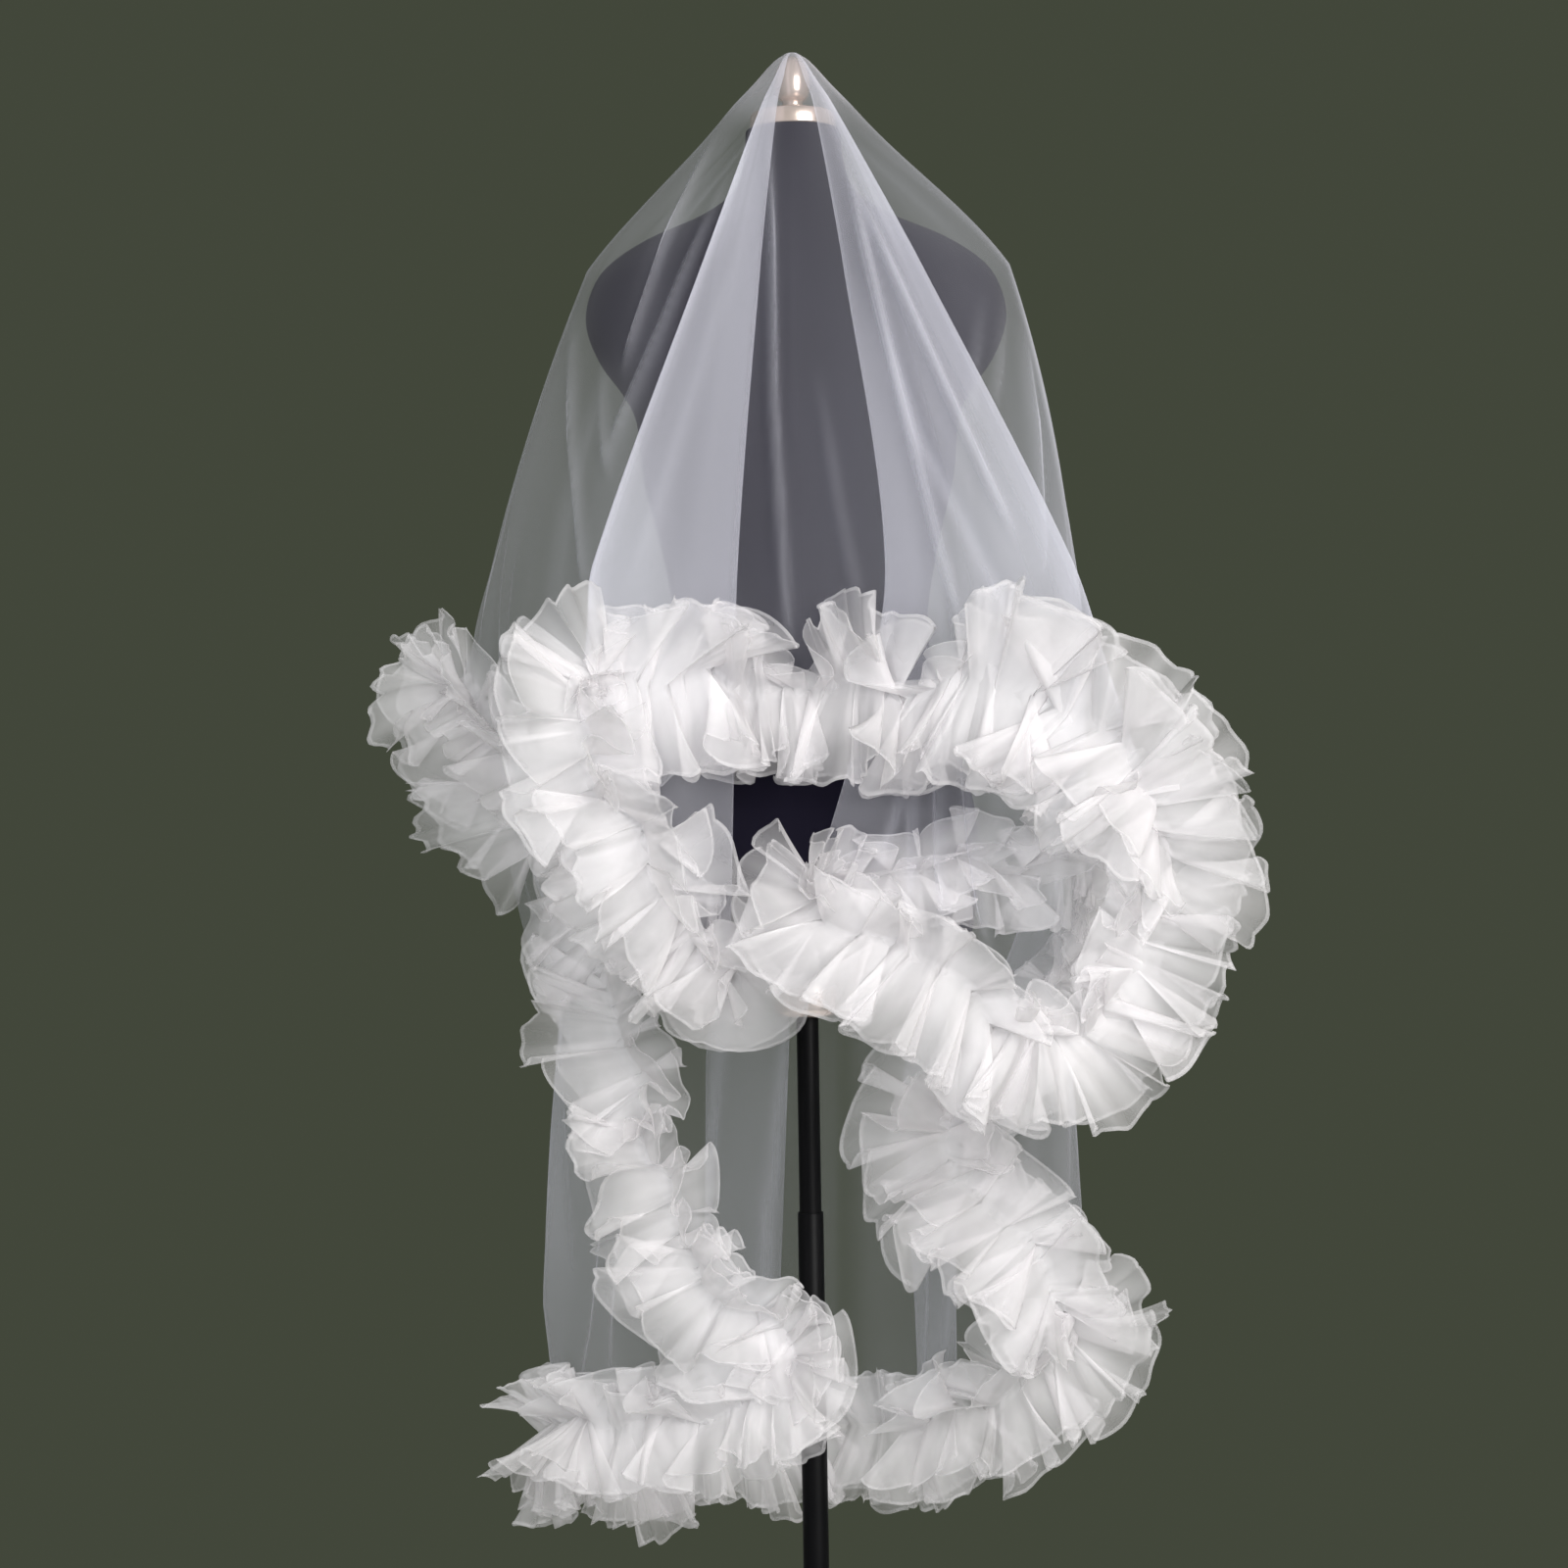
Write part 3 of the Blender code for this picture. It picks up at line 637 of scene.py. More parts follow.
# %% Points of the smooth drape
shoulder, waist, swing, edge = (along_folds(part) for part in Fold._fields[1:])
turns, rooms = crown_turns(shoulder, edge)
count = len(columns)
knots = [
    np.stack(
        [
            (ring.half_width + rooms * ring.room) * np.sin(turns),
            -(ring.half_depth + rooms * ring.room) * np.cos(turns),
            np.full(count, ring.z),
        ],
        axis=1,
    )
    for ring in CROWN_RINGS
]
shoulder = np.column_stack([shoulder, np.full(count, SHOULDER_Z)])
waist = np.column_stack([waist, np.full(count, WAIST_Z)])
half_way = (waist + edge) / 2 + np.column_stack([swing, np.zeros(count)])
knots += [shoulder, waist, half_way, edge]
ends = np.stack([knots[0], *knots, 2 * edge - half_way])
spans = np.maximum(np.linalg.norm(np.diff(ends, axis=0), axis=2, keepdims=True), 1e-6)
drape = []
for i, steps in enumerate(SPAN_ROWS):
    before, span, after = spans[i : i + 3]
    leave = (ends[i + 2] - ends[i]) * span / (before + span)
    arrive = (ends[i + 3] - ends[i + 1]) * span / (span + after)
    start, end = ends[i + 1], ends[i + 2]
    if i == TO_SHOULDER:
        arrive += (end - start - arrive) * SHOULDER_BEND
    if i == TO_SHOULDER + 1:
        leave += (end - start - leave) * SHOULDER_BEND
    earlier, later = end - 2 * leave, start + 2 * arrive
    drape += [smooth(earlier, start, end, later, k / steps) for k in range(steps)]
drape = np.stack([*drape, edge], axis=1)  # column, row, xyz
print("drape, metres:", drape.min((0, 1)).round(3), drape.max((0, 1)).round(3))

# %% [markdown]
# ## Creases and flutes
#
# Tulle is springy, so it doesn't hang dead smooth. It falls in long soft flutes that grow
# towards the hem, and where it is caught at the knob thin sharp creases run down from it.
# A flute sits at a fold number and pushes the cloth out or in along its own face. A crease
# follows a line down one layer of the cloth, the one between two fold numbers, in front or
# behind; numbers past the last fold go on round the front.


# %% Flutes, by fold number
Flute = namedtuple("Flute", "fold half_width height top")
FLUTES = (
    Flute(11.3, 0.20, 0.008, 1.46),
    Flute(12.4, 0.22, -0.009, 1.40),
    Flute(13.6, 0.25, 0.010, 1.42),
    Flute(15.0, 0.30, -0.012, 1.38),
    Flute(16.1, 0.16, 0.022, 1.47),
    Flute(16.7, 0.14, -0.017, 1.33),
    Flute(17.2, 0.12, 0.022, 1.50),
    Flute(18.45, 0.12, 0.024, 1.52),
    Flute(18.85, 0.14, -0.018, 1.44),
    Flute(19.2, 0.09, 0.022, 1.55),
    Flute(20.75, 0.12, -0.020, 1.45),
    Flute(21.15, 0.13, 0.024, 1.53),
    Flute(21.8, 0.15, -0.018, 1.38),
    Flute(22.5, 0.22, 0.020, 1.47),
    Flute(23.7, 0.26, -0.014, 1.40),
    Flute(25.0, 0.30, 0.012, 1.44),
    Flute(27.0, 0.35, -0.010, 1.38),
    Flute(28.6, 0.30, 0.009, 1.42),
    Flute(30.6, 0.20, 0.007, 1.50),
    Flute(31.5, 0.16, -0.006, 1.44),
)
# %% Laps, where the cloth behind doubles back over itself
Lap = namedtuple("Lap", "fold half_width shift apart top")
LAPS = (
    Lap(19.93, 0.95, 0.082, 0.012, 1.07),
    Lap(17.80, 0.75, 0.062, -0.012, 1.02),
)
# %% Creases, by x and z at their top, middle and foot
Crease = namedtuple("Crease", "first last x_top z_top x_mid z_mid x_low z_low half_width height")
CREASES = (
    Crease(38, 40, -0.025, 1.690, -0.024, 1.430, -0.012, 1.185, 0.0048, 0.0150),
    Crease(38, 40, 0.016, 1.470, 0.036, 1.326, 0.056, 1.220, 0.0060, 0.0050),
    Crease(39, 42, 0.044, 1.680, 0.094, 1.433, 0.148, 1.190, 0.0048, 0.0160),
    Crease(39, 42, 0.050, 1.650, 0.134, 1.440, 0.196, 1.290, 0.0050, 0.0150),
    Crease(39, 42, 0.060, 1.560, 0.110, 1.400, 0.205, 1.200, 0.0090, -0.0100),
    Crease(36, 38, -0.045, 1.620, -0.105, 1.420, -0.160, 1.250, 0.0090, 0.0060),
    Crease(36, 38, -0.034, 1.600, -0.060, 1.420, -0.090, 1.250, 0.0080, 0.0050),
    Crease(30, 33, -0.058, 1.665, -0.120, 1.520, -0.185, 1.375, 0.0060, 0.0120),
    Crease(28, 33, -0.074, 1.700, -0.122, 1.590, -0.168, 1.460, 0.0038, 0.0120),
    Crease(29, 32, -0.216, 1.540, -0.213, 1.400, -0.202, 1.250, 0.0040, 0.0100),
    Crease(30, 32, -0.186, 1.490, -0.184, 1.420, -0.178, 1.360, 0.0050, 0.0090),
    Crease(8, 11, 0.178, 1.540, 0.164, 1.460, 0.158, 1.390, 0.0050, 0.0100),
    Crease(8, 12, 0.200, 1.545, 0.190, 1.470, 0.179, 1.410, 0.0050, 0.0100),
    Crease(2.5, 7, 0.120, 1.160, 0.080, 1.040, 0.055, 0.980, 0.0050, 0.0120),
    Crease(2.5, 7, 0.104, 1.180, 0.096, 1.010, 0.090, 0.950, 0.0045, 0.0140),
    Crease(2.5, 7, 0.125, 1.180, 0.121, 1.000, 0.122, 0.930, 0.0045, 0.0130),
    Crease(2.5, 7, 0.143, 1.180, 0.153, 1.020, 0.165, 0.920, 0.0050, 0.0110),
    Crease(9, 12, 0.215, 1.520, 0.222, 1.400, 0.226, 1.260, 0.0070, 0.0120),
    Crease(19, 22, -0.086, 0.860, -0.084, 0.620, -0.092, 0.420, 0.0055, 0.0180),
    Crease(19, 22, -0.046, 0.900, -0.040, 0.640, -0.036, 0.420, 0.0055, 0.0180),
    Crease(16, 19, 0.080, 0.860, 0.080, 0.620, 0.078, 0.420, 0.0045, 0.0120),
    Crease(16, 18, 0.132, 0.860, 0.134, 0.620, 0.140, 0.420, 0.0060, 0.0100),
)


# %% Push the cloth out along its own face
PINCH = 90  # how much more cloth a metre of crease height holds
FRONT_ROW = 60  # a row of the front centre's column whose face must look forward
PUSH_FADE = 0.12  # metres from the edge over which the pushes die out
SLIDE_FADE = 0.03  # and the slides of the laps
FLUTE_GROWS = 0.35  # metres below its top over which a flute reaches its height
FLUTE_POWER = 1.3
CREASE_TOP_FADE = 0.10
CREASE_FOOT_FADE = 0.04
LAP_GROWS = 0.25

down = np.gradient(drape, axis=1)
round_edge = (np.roll(drape, -1, axis=0) - np.roll(drape, 1, axis=0)) / 2
faces_out = np.cross(round_edge, down)
faces_out /= np.maximum(np.linalg.norm(faces_out, axis=2, keepdims=True), 1e-9)
if (faces_out[0, FRONT_ROW] * np.array((0, -1, 0))).sum() < 0:
    faces_out = -faces_out

heights = drape[:, :, 2]
to_edge = np.linalg.norm(drape - drape[:, -1:, :], axis=2)
at_edge = np.clip(to_edge / PUSH_FADE, 0, 1)  # nothing moves where the ruffle is sewn
push = np.zeros(drape.shape[:2])
for flute in FLUTES:
    near = np.exp(-(((columns - flute.fold) / flute.half_width) ** 2))
    grown = np.clip((flute.top - heights) / FLUTE_GROWS, 0, 1) ** FLUTE_POWER
    push += flute.height * near[:, None] * grown
pinched = np.zeros(drape.shape[:2])
for crease in CREASES:
    line_z = (crease.z_low, crease.z_mid, crease.z_top)
    line_x = (crease.x_low, crease.x_mid, crease.x_top)
    off = (drape[:, :, 0] - np.interp(heights, line_z, line_x)) / crease.half_width
    fade = np.clip((crease.z_top - heights) / CREASE_TOP_FADE, 0, 1)
    fade = fade * np.clip((heights - crease.z_low) / CREASE_FOOT_FADE, 0, 1)
    on_layer = sum(
        (columns + turn >= crease.first) & (columns + turn <= crease.last)
        for turn in (0, len(FOLDS))
    )
    push += crease.height * np.exp(-(off**2)) * fade * on_layer[:, None]
    pinched += PINCH * abs(crease.height) * np.exp(-(off**2)) * fade * on_layer[:, None]
slide = np.zeros(drape.shape[:2])
for lap in LAPS:
    off = np.clip((columns - lap.fold) / lap.half_width, -1, 1)[:, None]
    grown = np.clip((lap.top - heights) / LAP_GROWS, 0, 1)
    slide -= lap.shift * np.sin(math.pi * off) * grown
    push += lap.apart * np.sin(math.pi * off * 2) * (abs(off) < 1) * grown
along_edge = round_edge / np.maximum(np.linalg.norm(round_edge, axis=2, keepdims=True), 1e-9)
near_edge = np.clip(to_edge / SLIDE_FADE, 0, 1)
draped = drape + faces_out * (push * at_edge)[:, :, None]
draped += along_edge * (slide * near_edge)[:, :, None]
print("pushed, mm:", round(push.min() * 1000, 1), "to", round(push.max() * 1000, 1))

# %% How thickly the cloth is gathered
# Four and a half metres of edge meet at the knob. Where the folds crowd together, more cloth
# hangs in the same width than the smooth grid shows, and it looks whiter.
Limit = namedtuple("Limit", "fold thinnest thickest")
LIMITS = (
    Limit(0.0, 0.40, 1.2),
    Limit(1.6, 1.60, 2.0),
    Limit(5.0, 1.90, 2.3),
    Limit(6.0, 1.20, 1.7),
    Limit(8.0, 1.00, 1.7),
    Limit(11.5, 0.90, 1.5),
    Limit(12.5, 0.50, 1.3),
    Limit(14.0, 0.40, 1.0),
    Limit(17.0, 0.50, 1.4),
    Limit(18.4, 0.40, 1.2),
    Limit(18.8, 0.30, 0.5),
    Limit(19.3, 1.25, 1.7),
    Limit(20.2, 1.40, 1.8),
    Limit(22.5, 1.00, 1.6),
    Limit(24.0, 0.40, 0.8),
    Limit(31.0, 0.40, 0.8),
    Limit(32.0, 0.60, 1.6),
    Limit(33.5, 2.00, 2.3),
    Limit(37.0, 2.00, 2.3),
    Limit(37.6, 0.60, 1.2),
    Limit(39.0, 0.40, 1.2),
)
CROWN_TUCKS = 1.6  # what the small tucks over the knob hold
TUCKS_FOOT = 1.69  # the height where they begin, and how far up they are full
TUCKS_GROW = 0.06
SMOOTHED = 3  # columns to each side over which the density is evened out
LOBE_TOP = 1.15  # the front right lobe, the folds before LOBE_LAST, thins out below this height
LOBE_LAST = 8
LOBE_THICKEST = 0.8
LAYERED = 0.9  # a least density above this stands for layers, and only above their foot
LAYERS_FOOT = 1.03
FADE = 0.12  # metres over which either change happens
PLAIN = 0.5  # the least density of one plain layer
WHITENING = 1.5  # the power by which gathered cloth looks denser than it is
flat_steps = np.linalg.norm(np.diff(edge, axis=0, append=edge[:1]), axis=1)[:, None]
down_steps = np.linalg.norm(np.diff(drape, axis=1, prepend=drape[:, :1]), axis=2)
share_down = np.cumsum(down_steps, axis=1) / down_steps.sum(1, keepdims=True)
real_steps = np.linalg.norm(np.roll(drape, -1, axis=0) - drape, axis=2)
gathered = flat_steps * share_down / np.maximum(real_steps, 1e-6)
gathered = sum(np.roll(gathered, k, axis=0) for k in range(-SMOOTHED, SMOOTHED + 1))
gathered /= 2 * SMOOTHED + 1
at_folds = [limit.fold for limit in LIMITS]
thinnest = np.interp(columns, at_folds, [limit.thinnest for limit in LIMITS])[:, None]
thickest = np.interp(columns, at_folds, [limit.thickest for limit in LIMITS])[:, None]
low_lobe = np.clip((LOBE_TOP - heights) / FADE, 0, 1) * (columns < LOBE_LAST)[:, None]
thickest = thickest + (LOBE_THICKEST - thickest) * low_lobe
layered = np.clip((heights - LAYERS_FOOT) / FADE, 0, 1) * (thinnest > LAYERED)
thinnest = PLAIN + (thinnest - PLAIN) * layered + np.minimum(thinnest - PLAIN, 0)
gathered = np.minimum(np.maximum(gathered, thinnest), thickest) ** WHITENING + pinched
gathered = np.maximum(gathered, CROWN_TUCKS * np.clip((heights - TUCKS_FOOT) / TUCKS_GROW, 0, 1))
print("gathered, from", round(gathered.min(), 2), "to", round(gathered.max(), 2))

# %% [markdown]
# ## The look of tulle
#
# Tulle is a net of fine threads with holes about a millimetre wide. From any distance it acts
# like thin white air: most of the light goes straight through, and each layer adds a little
# white. Seen edge on, its threads close up and it turns nearly solid, which draws the bright
# line along every fold. So the shader is a see-through one mixed with a cloth one, and the
# share of cloth goes up as the surface turns away. The cloth itself is half ordinary white
# and half translucent, because light from behind glows through it. The net is two crossing
# sets of threads a millimetre apart on the piece's own UV map, which is in metres, with a broad
# soft unevenness, and every corner keeps a value for how thickly the cloth is gathered there.


# %% Tulle
THREAD_WAVE = math.pi / 0.0010  # a thread every millimetre along the cut
THREAD_WIDTH = 0.30  # how much of a wave counts as thread
THREAD_SHARE = 0.12  # what the threads add to the cover, and what there is between them
GROUND_SHARE = 0.96
LEAST_SQUARE_ON = 0.16  # a surface seen more edge on than this gets no denser
GLOW_SHARE = 0.45  # of the cloth's light that comes through from behind


def tulle_finish(name, colour, cover, streaks, uneven, rise, most):
    """Sheer net: cover is the share of it that is thread, seen square on. Turned away, the share
    grows by a power, rise, up to most."""
    made = bpy.data.materials.new(name)
    made.use_nodes = True
    tree = made.node_tree
    tree.nodes.remove(tree.nodes["Principled BSDF"])
    thread = tree.nodes.new("ShaderNodeBsdfDiffuse")
    thread.inputs["Color"].default_value = (*colour, 1)
    where = tree.nodes.new("ShaderNodeUVMap").outputs["UV"]
    along = tree.nodes.new("ShaderNodeSeparateXYZ")
    tree.links.new(where, along.inputs["Vector"])
    net = None
    for slant in (1.0, -1.0):  # two sets of threads that cross, as wide as a quarter of a hole
        run = arithmetic(tree, "MULTIPLY_ADD", along.outputs["Y"], slant, along.outputs["X"])
        wave = arithmetic(tree, "SINE", arithmetic(tree, "MULTIPLY", run, THREAD_WAVE))
        line = arithmetic(tree, "LESS_THAN", arithmetic(tree, "ABSOLUTE", wave), THREAD_WIDTH)
        net = line if net is None else arithmetic(tree, "MAXIMUM", net, line)
    wide = node(tree, "ShaderNodeMapping", Vector=where, Scale=streaks)
    cloud = node(tree, "ShaderNodeTexNoise", Vector=wide.outputs["Vector"], Scale=1.0, Detail=0.0)
    cloud.noise_dimensions = "2D"
    turned = tree.nodes.new("ShaderNodeLayerWeight")
    turned.inputs["Blend"].default_value = 0.5
    square_on = arithmetic(tree, "SUBTRACT", 1.0, turned.outputs["Facing"])
    square_on = arithmetic(tree, "MAXIMUM", square_on, LEAST_SQUARE_ON)
    cloth_held = tree.nodes.new("ShaderNodeAttribute")
    cloth_held.attribute_name = "gathered"
    density = arithmetic(tree, "MULTIPLY_ADD", net, cover * THREAD_SHARE, cover * GROUND_SHARE)
    density = arithmetic(tree, "MULTIPLY", density, cloth_held.outputs["Fac"])
    clouded = arithmetic(tree, "MULTIPLY_ADD", cloud.outputs["Fac"], uneven, 1 - uneven / 2)
    density = arithmetic(tree, "MULTIPLY", density, clouded)
    square_on = arithmetic(tree, "POWER", square_on, rise)
    share = arithmetic(tree, "DIVIDE", density, square_on)
    share = arithmetic(tree, "MINIMUM", share, most)
    glow = tree.nodes.new("ShaderNodeBsdfTranslucent")
    glow.inputs["Color"].default_value = (*colour, 1)
    cloth = tree.nodes.new("ShaderNodeMixShader")
    cloth.inputs["Fac"].default_value = GLOW_SHARE
    tree.links.new(thread.outputs[0], cloth.inputs[1])
    tree.links.new(glow.outputs[0], cloth.inputs[2])
    clear = tree.nodes.new("ShaderNodeBsdfTransparent")
    sheer = tree.nodes.new("ShaderNodeMixShader")
    tree.links.new(share, sheer.inputs["Fac"])
    tree.links.new(clear.outputs[0], sheer.inputs[1])
    tree.links.new(cloth.outputs[0], sheer.inputs[2])
    tree.links.new(sheer.outputs[0], tree.nodes["Material Output"].inputs["Surface"])
    return made


sheet_tulle = tulle_finish(
    "sheet_tulle",
    (0.87, 0.865, 0.95),
    cover=0.100,
    streaks=(12.0, 0.8, 1.0),
    uneven=0.25,
    rise=0.8,
    most=0.85,
)
ruffle_tulle = tulle_finish(
    "ruffle_tulle",
    (0.94, 0.917, 0.93),
    cover=0.35,
    streaks=(70.0, 9.0, 1.0),
    uneven=0.6,
    rise=0.25,
    most=0.55,
)

# %% [markdown]
# ## Hang the sheet
#
# The grid is laid on the pushed drape and sewn up where its two sides meet at the front. The
# little hole over the knob is filled. The cut is a rounded rectangle. Its width and length are
# the lengths of four folds in the mesh, from the knob to each side. The rounding of its corners
# is a guess: the folds there are longer than it allows, so the real cut may well be larger.


# %% Lay the grid on the drape
def scale_uv(mesh, width, length):
    """Makes a UV map in shares of the cut into one in metres."""
    layer = mesh.uv_layers[0].uv
    values = np.empty(len(layer) * 2, np.float32)
    layer.foreach_get("vector", values)
    values.reshape(-1, 2)[:] *= (width, length)
    layer.foreach_set("vector", values)


def on_drape(column, row):
    return draped[column % count, row]


def held_here(column, row):
    return gathered[column % count, row]


shape = laid_grid(count, draped.shape[1] - 1, on_drape, held_here)
bmesh.ops.remove_doubles(shape, verts=shape.verts, dist=0.000005)
top = [e for e in shape.edges if e.is_boundary and e.verts[0].co.z > 1.75]
bmesh.ops.holes_fill(shape, edges=top, sides=0)
bmesh.ops.recalc_face_normals(shape, faces=shape.faces)
sheet_area = sum(face.calc_area() for face in shape.faces)
folds_long = np.linalg.norm(np.diff(draped, axis=1), axis=2).sum(1)
print("sheet area, m2:", round(sheet_area, 3), "faces:", len(shape.faces))
for name in ("front_centre", "inner_right_side", "hem_centre", "inner_left_1"):
    at = int(np.argmin(abs(columns - [fold.name for fold in FOLDS].index(name))))
    print("  knob to edge at", name, round(float(folds_long[at]), 3))
edge_length = float(np.linalg.norm(np.diff(edge, axis=0, append=edge[:1]), axis=1).sum())
print("edge length, m:", round(edge_length, 3))
veil = show("veil_sheet", shape, "form", "tulle", sheet_tulle, "veil_panel")
scale_uv(veil.data, edge_length, float(folds_long.mean()))

# %% [markdown]
# ## The ruffle
#
# The ruffle is two strips of tulle, one over the other, each folded double so that both of its
# long sides are soft folds. They are gathered down their middle and sewn on along the edge of
# the sheet, about three times more strip than edge, so they stand in deep pleats that fan out
# to both sides. Five to ten pleats fan from one middle, as in a rosette, with a parting between
# some rosettes, and small ripples run along each pleat. Each strip is shown as one sheet whose
# soft edges are rolled back: a row for each place across it, and a column for each place along
# a pleat, closer at the folds, where the light draws its line. Its cut is stated by the mean
# length of its rows; the longest rows, near the soft edges, are a third or more longer.

# %% Stretches of the ruffle
Stretch = namedtuple("Stretch", "name first last outer inner facing face stand")
STRETCHES = (
    Stretch("ruffle_front", "crest_left", "crest_right", 0.100, 0.090, 0, 1, 1.0),
    Stretch("ruffle_right_lobe", "crest_right", "fold_right", 0.095, 0.055, 10, -1, 1.0),
    Stretch("ruffle_right_inner", "fold_right", "side_right_top", 0.072, 0.040, 30, 1, 1.5),
    Stretch("ruffle_right_under", "side_right_top", "side_right_turn", 0.070, 0.040, 0, -1, 1.0),
    Stretch("ruffle_right_side", "side_right_turn", "corner_back_right", 0.105, 0.060, 25, 1, 1.0),
    Stretch("ruffle_right_lower", "corner_back_right", "hem_right_2", 0.088, 0.070, 0, -1, 1.0),
    Stretch("ruffle_back_hem", "hem_right_2", "hem_left_2", 0.092, 0.062, 180, 1, 0.50),
    Stretch("ruffle_left_corner", "hem_left_2", "left_low_1", 0.084, 0.064, -80, 1, 0.8),
    Stretch("ruffle_left_lower", "left_low_1", "fold_left_low", 0.078, 0.058, -15, 1, 1.0),
    Stretch("ruffle_left_side", "fold_left_low", "side_left_4", 0.050, 0.082, -25, 1, 1.0),
    Stretch("ruffle_left_top", "side_left_4", "side_left_top", 0.050, 0.092, -60, 1, 1.0),
    Stretch("ruffle_left_inner", "side_left_top", "fold_left", 0.054, 0.058, -40, 1, 1.0),
    Stretch("ruffle_left_lobe", "fold_left", "crest_left", 0.085, 0.070, -10, -1, 1.0),
)

PLEAT_PITCH = 0.0370  # along the gathering line, for one pleat to and fro
PLEAT_DEPTH = 0.0205  # half of a pleat's depth at the ruffle's soft edges
GATHER_DEPTH = 0.0045  # and at the gathering line
LOOP = 0.0040  # how far a fold bulges, so that it is round and not sharp
TIP_ROUNDING = 0.06  # a pleat's corners fall short of its middle by this share
LINE_LIFT = 0.0050  # the gathering line stands this far off the sheet
LINE_PAST = 0.0020  # and this far past its edge
JOINT_SHARE = 0.20  # of a stretch, over which its reach passes into its neighbour's
OVERLAP = 0.012  # of each end of a stretch with its neighbour
WANDER = 0.0055  # how far the gathering line strays, and over what lengths
WANDER_LENGTHS = (0.085, 0.137)
LINE_THICKEST = 1.5  # the most that cloth counts as gathered at the line
BEND_ROOM = 0.60  # on the inside of a bend a pleat reaches this share of its radius at most
FAN_OUT = 0.45  # how far the pleats at a rosette's ends lean away from its middle
FAN_IN = 0.95
MOST_LEAN = 1.30  # radians
SHORT_OUT = 0.06  # and how much shorter they are
SHORT_IN = 0.22
TANGENT_REACH = 0.020  # how far along the edge its direction is taken
PLEAT_COLUMNS = (0.0, 0.05, 0.12, 0.20, 0.29, 0.38, 0.47, 0.56, 0.65, 0.74, 0.82, 0.89, 0.95)
RIPPLE = 0.0026  # how deep the small ripples are that run along a pleat
RIPPLE_TIP = 0.022  # and by how much of its reach they scallop its end
Row = namedtuple("Row", "across behind")  # share of the reach, and how far behind the front
SOFT_EDGE = (Row(0.965, 0.0016), Row(1.0, 0.0014), Row(1.005, 0.0007), Row(1.0, 0.0))
HALF_ACROSS = (*SOFT_EDGE, *(Row(share, 0.0) for share in (0.92, 0.80, 0.65, 0.48, 0.32, 0.16)))
ACROSS = (
    *(Row(-row.across, row.behind) for row in HALF_ACROSS),
    Row(0.0, 0.0),
    *reversed(HALF_ACROSS),
)


# %% Places along the edge
edge_walk = np.concatenate(
    [[0], np.cumsum(np.linalg.norm(np.diff(edge, axis=0, append=edge[:1]), axis=1))]
)
edge_ring = np.vstack([edge, edge[:1]])
fold_walk = {
    fold.name: edge_walk[int(np.argmin(abs(columns - i)))] for i, fold in enumerate(FOLDS)
}


def on_edge(distance):
    """The point of the sheet's edge at a distance round it from the front centre."""
    distance = distance % edge_walk[-1]
    return Vector([float(np.interp(distance, edge_walk, edge_ring[:, axis])) for axis in range(3)])


def wander(distance):
    """How far the gathering line has strayed at a distance along the edge."""
    waves = [math.sin(2 * math.pi * distance / length) for length in WANDER_LENGTHS]
    return WANDER * sum(waves)


def edge_frame(distance):
    """The edge's direction and how sharply it bends, over the reach of a pleat's foot."""
    here = on_edge(distance)
    into = here - on_edge(distance - TANGENT_REACH)
    out = on_edge(distance + TANGENT_REACH) - here
    along = (into + out).normalized()
    return here, along, (out.normalized() - into.normalized()) / TANGENT_REACH


# %% Partings, by fold number, where two rosettes leave a V between them
PARTINGS = (36.9, 0.0, 0.62, 33.9, 29.0)
PARTING_WIDTH = 0.030
PARTING_DEPTH = 0.80
PARTING_LEAN = 1.5  # radians that the pleats beside a parting lean away from it
parting_walk = [float(np.interp(fold, columns, edge_walk[:-1])) for fold in PARTINGS]


def parting_near(distance):
    """How near a place on the edge is to a parting, from 0 to 1, and on which side of it."""
    turn = edge_walk[-1]
    off = min(((distance - at + turn / 2) % turn - turn / 2 for at in parting_walk), key=abs)
    return math.exp(-((off / PARTING_WIDTH) ** 2)), math.copysign(1, off)


# %% Pleats of one stretch
Pleat = namedtuple(
    "Pleat",
    "walked side depth lie outer inner rise_out rise_in curl_out curl_in fan_out fan_in ripples",
)


def reach_at(place, share):
    """The ruffle's reach past the edge and over the sheet, a share of the way along a stretch.
    It passes smoothly into the neighbours' reach."""
    here, before = STRETCHES[place], STRETCHES[place - 1]
    after = STRETCHES[(place + 1) % len(STRETCHES)]
    back = max(0, 1 - share / JOINT_SHARE) / 2
    on = max(0, 1 - (1 - share) / JOINT_SHARE) / 2
    return [
        value + (earlier - value) * back + (later - value) * on
        for value, earlier, later in (
            (here.outer, before.outer, after.outer),
            (here.inner, before.inner, after.inner),
        )
    ]


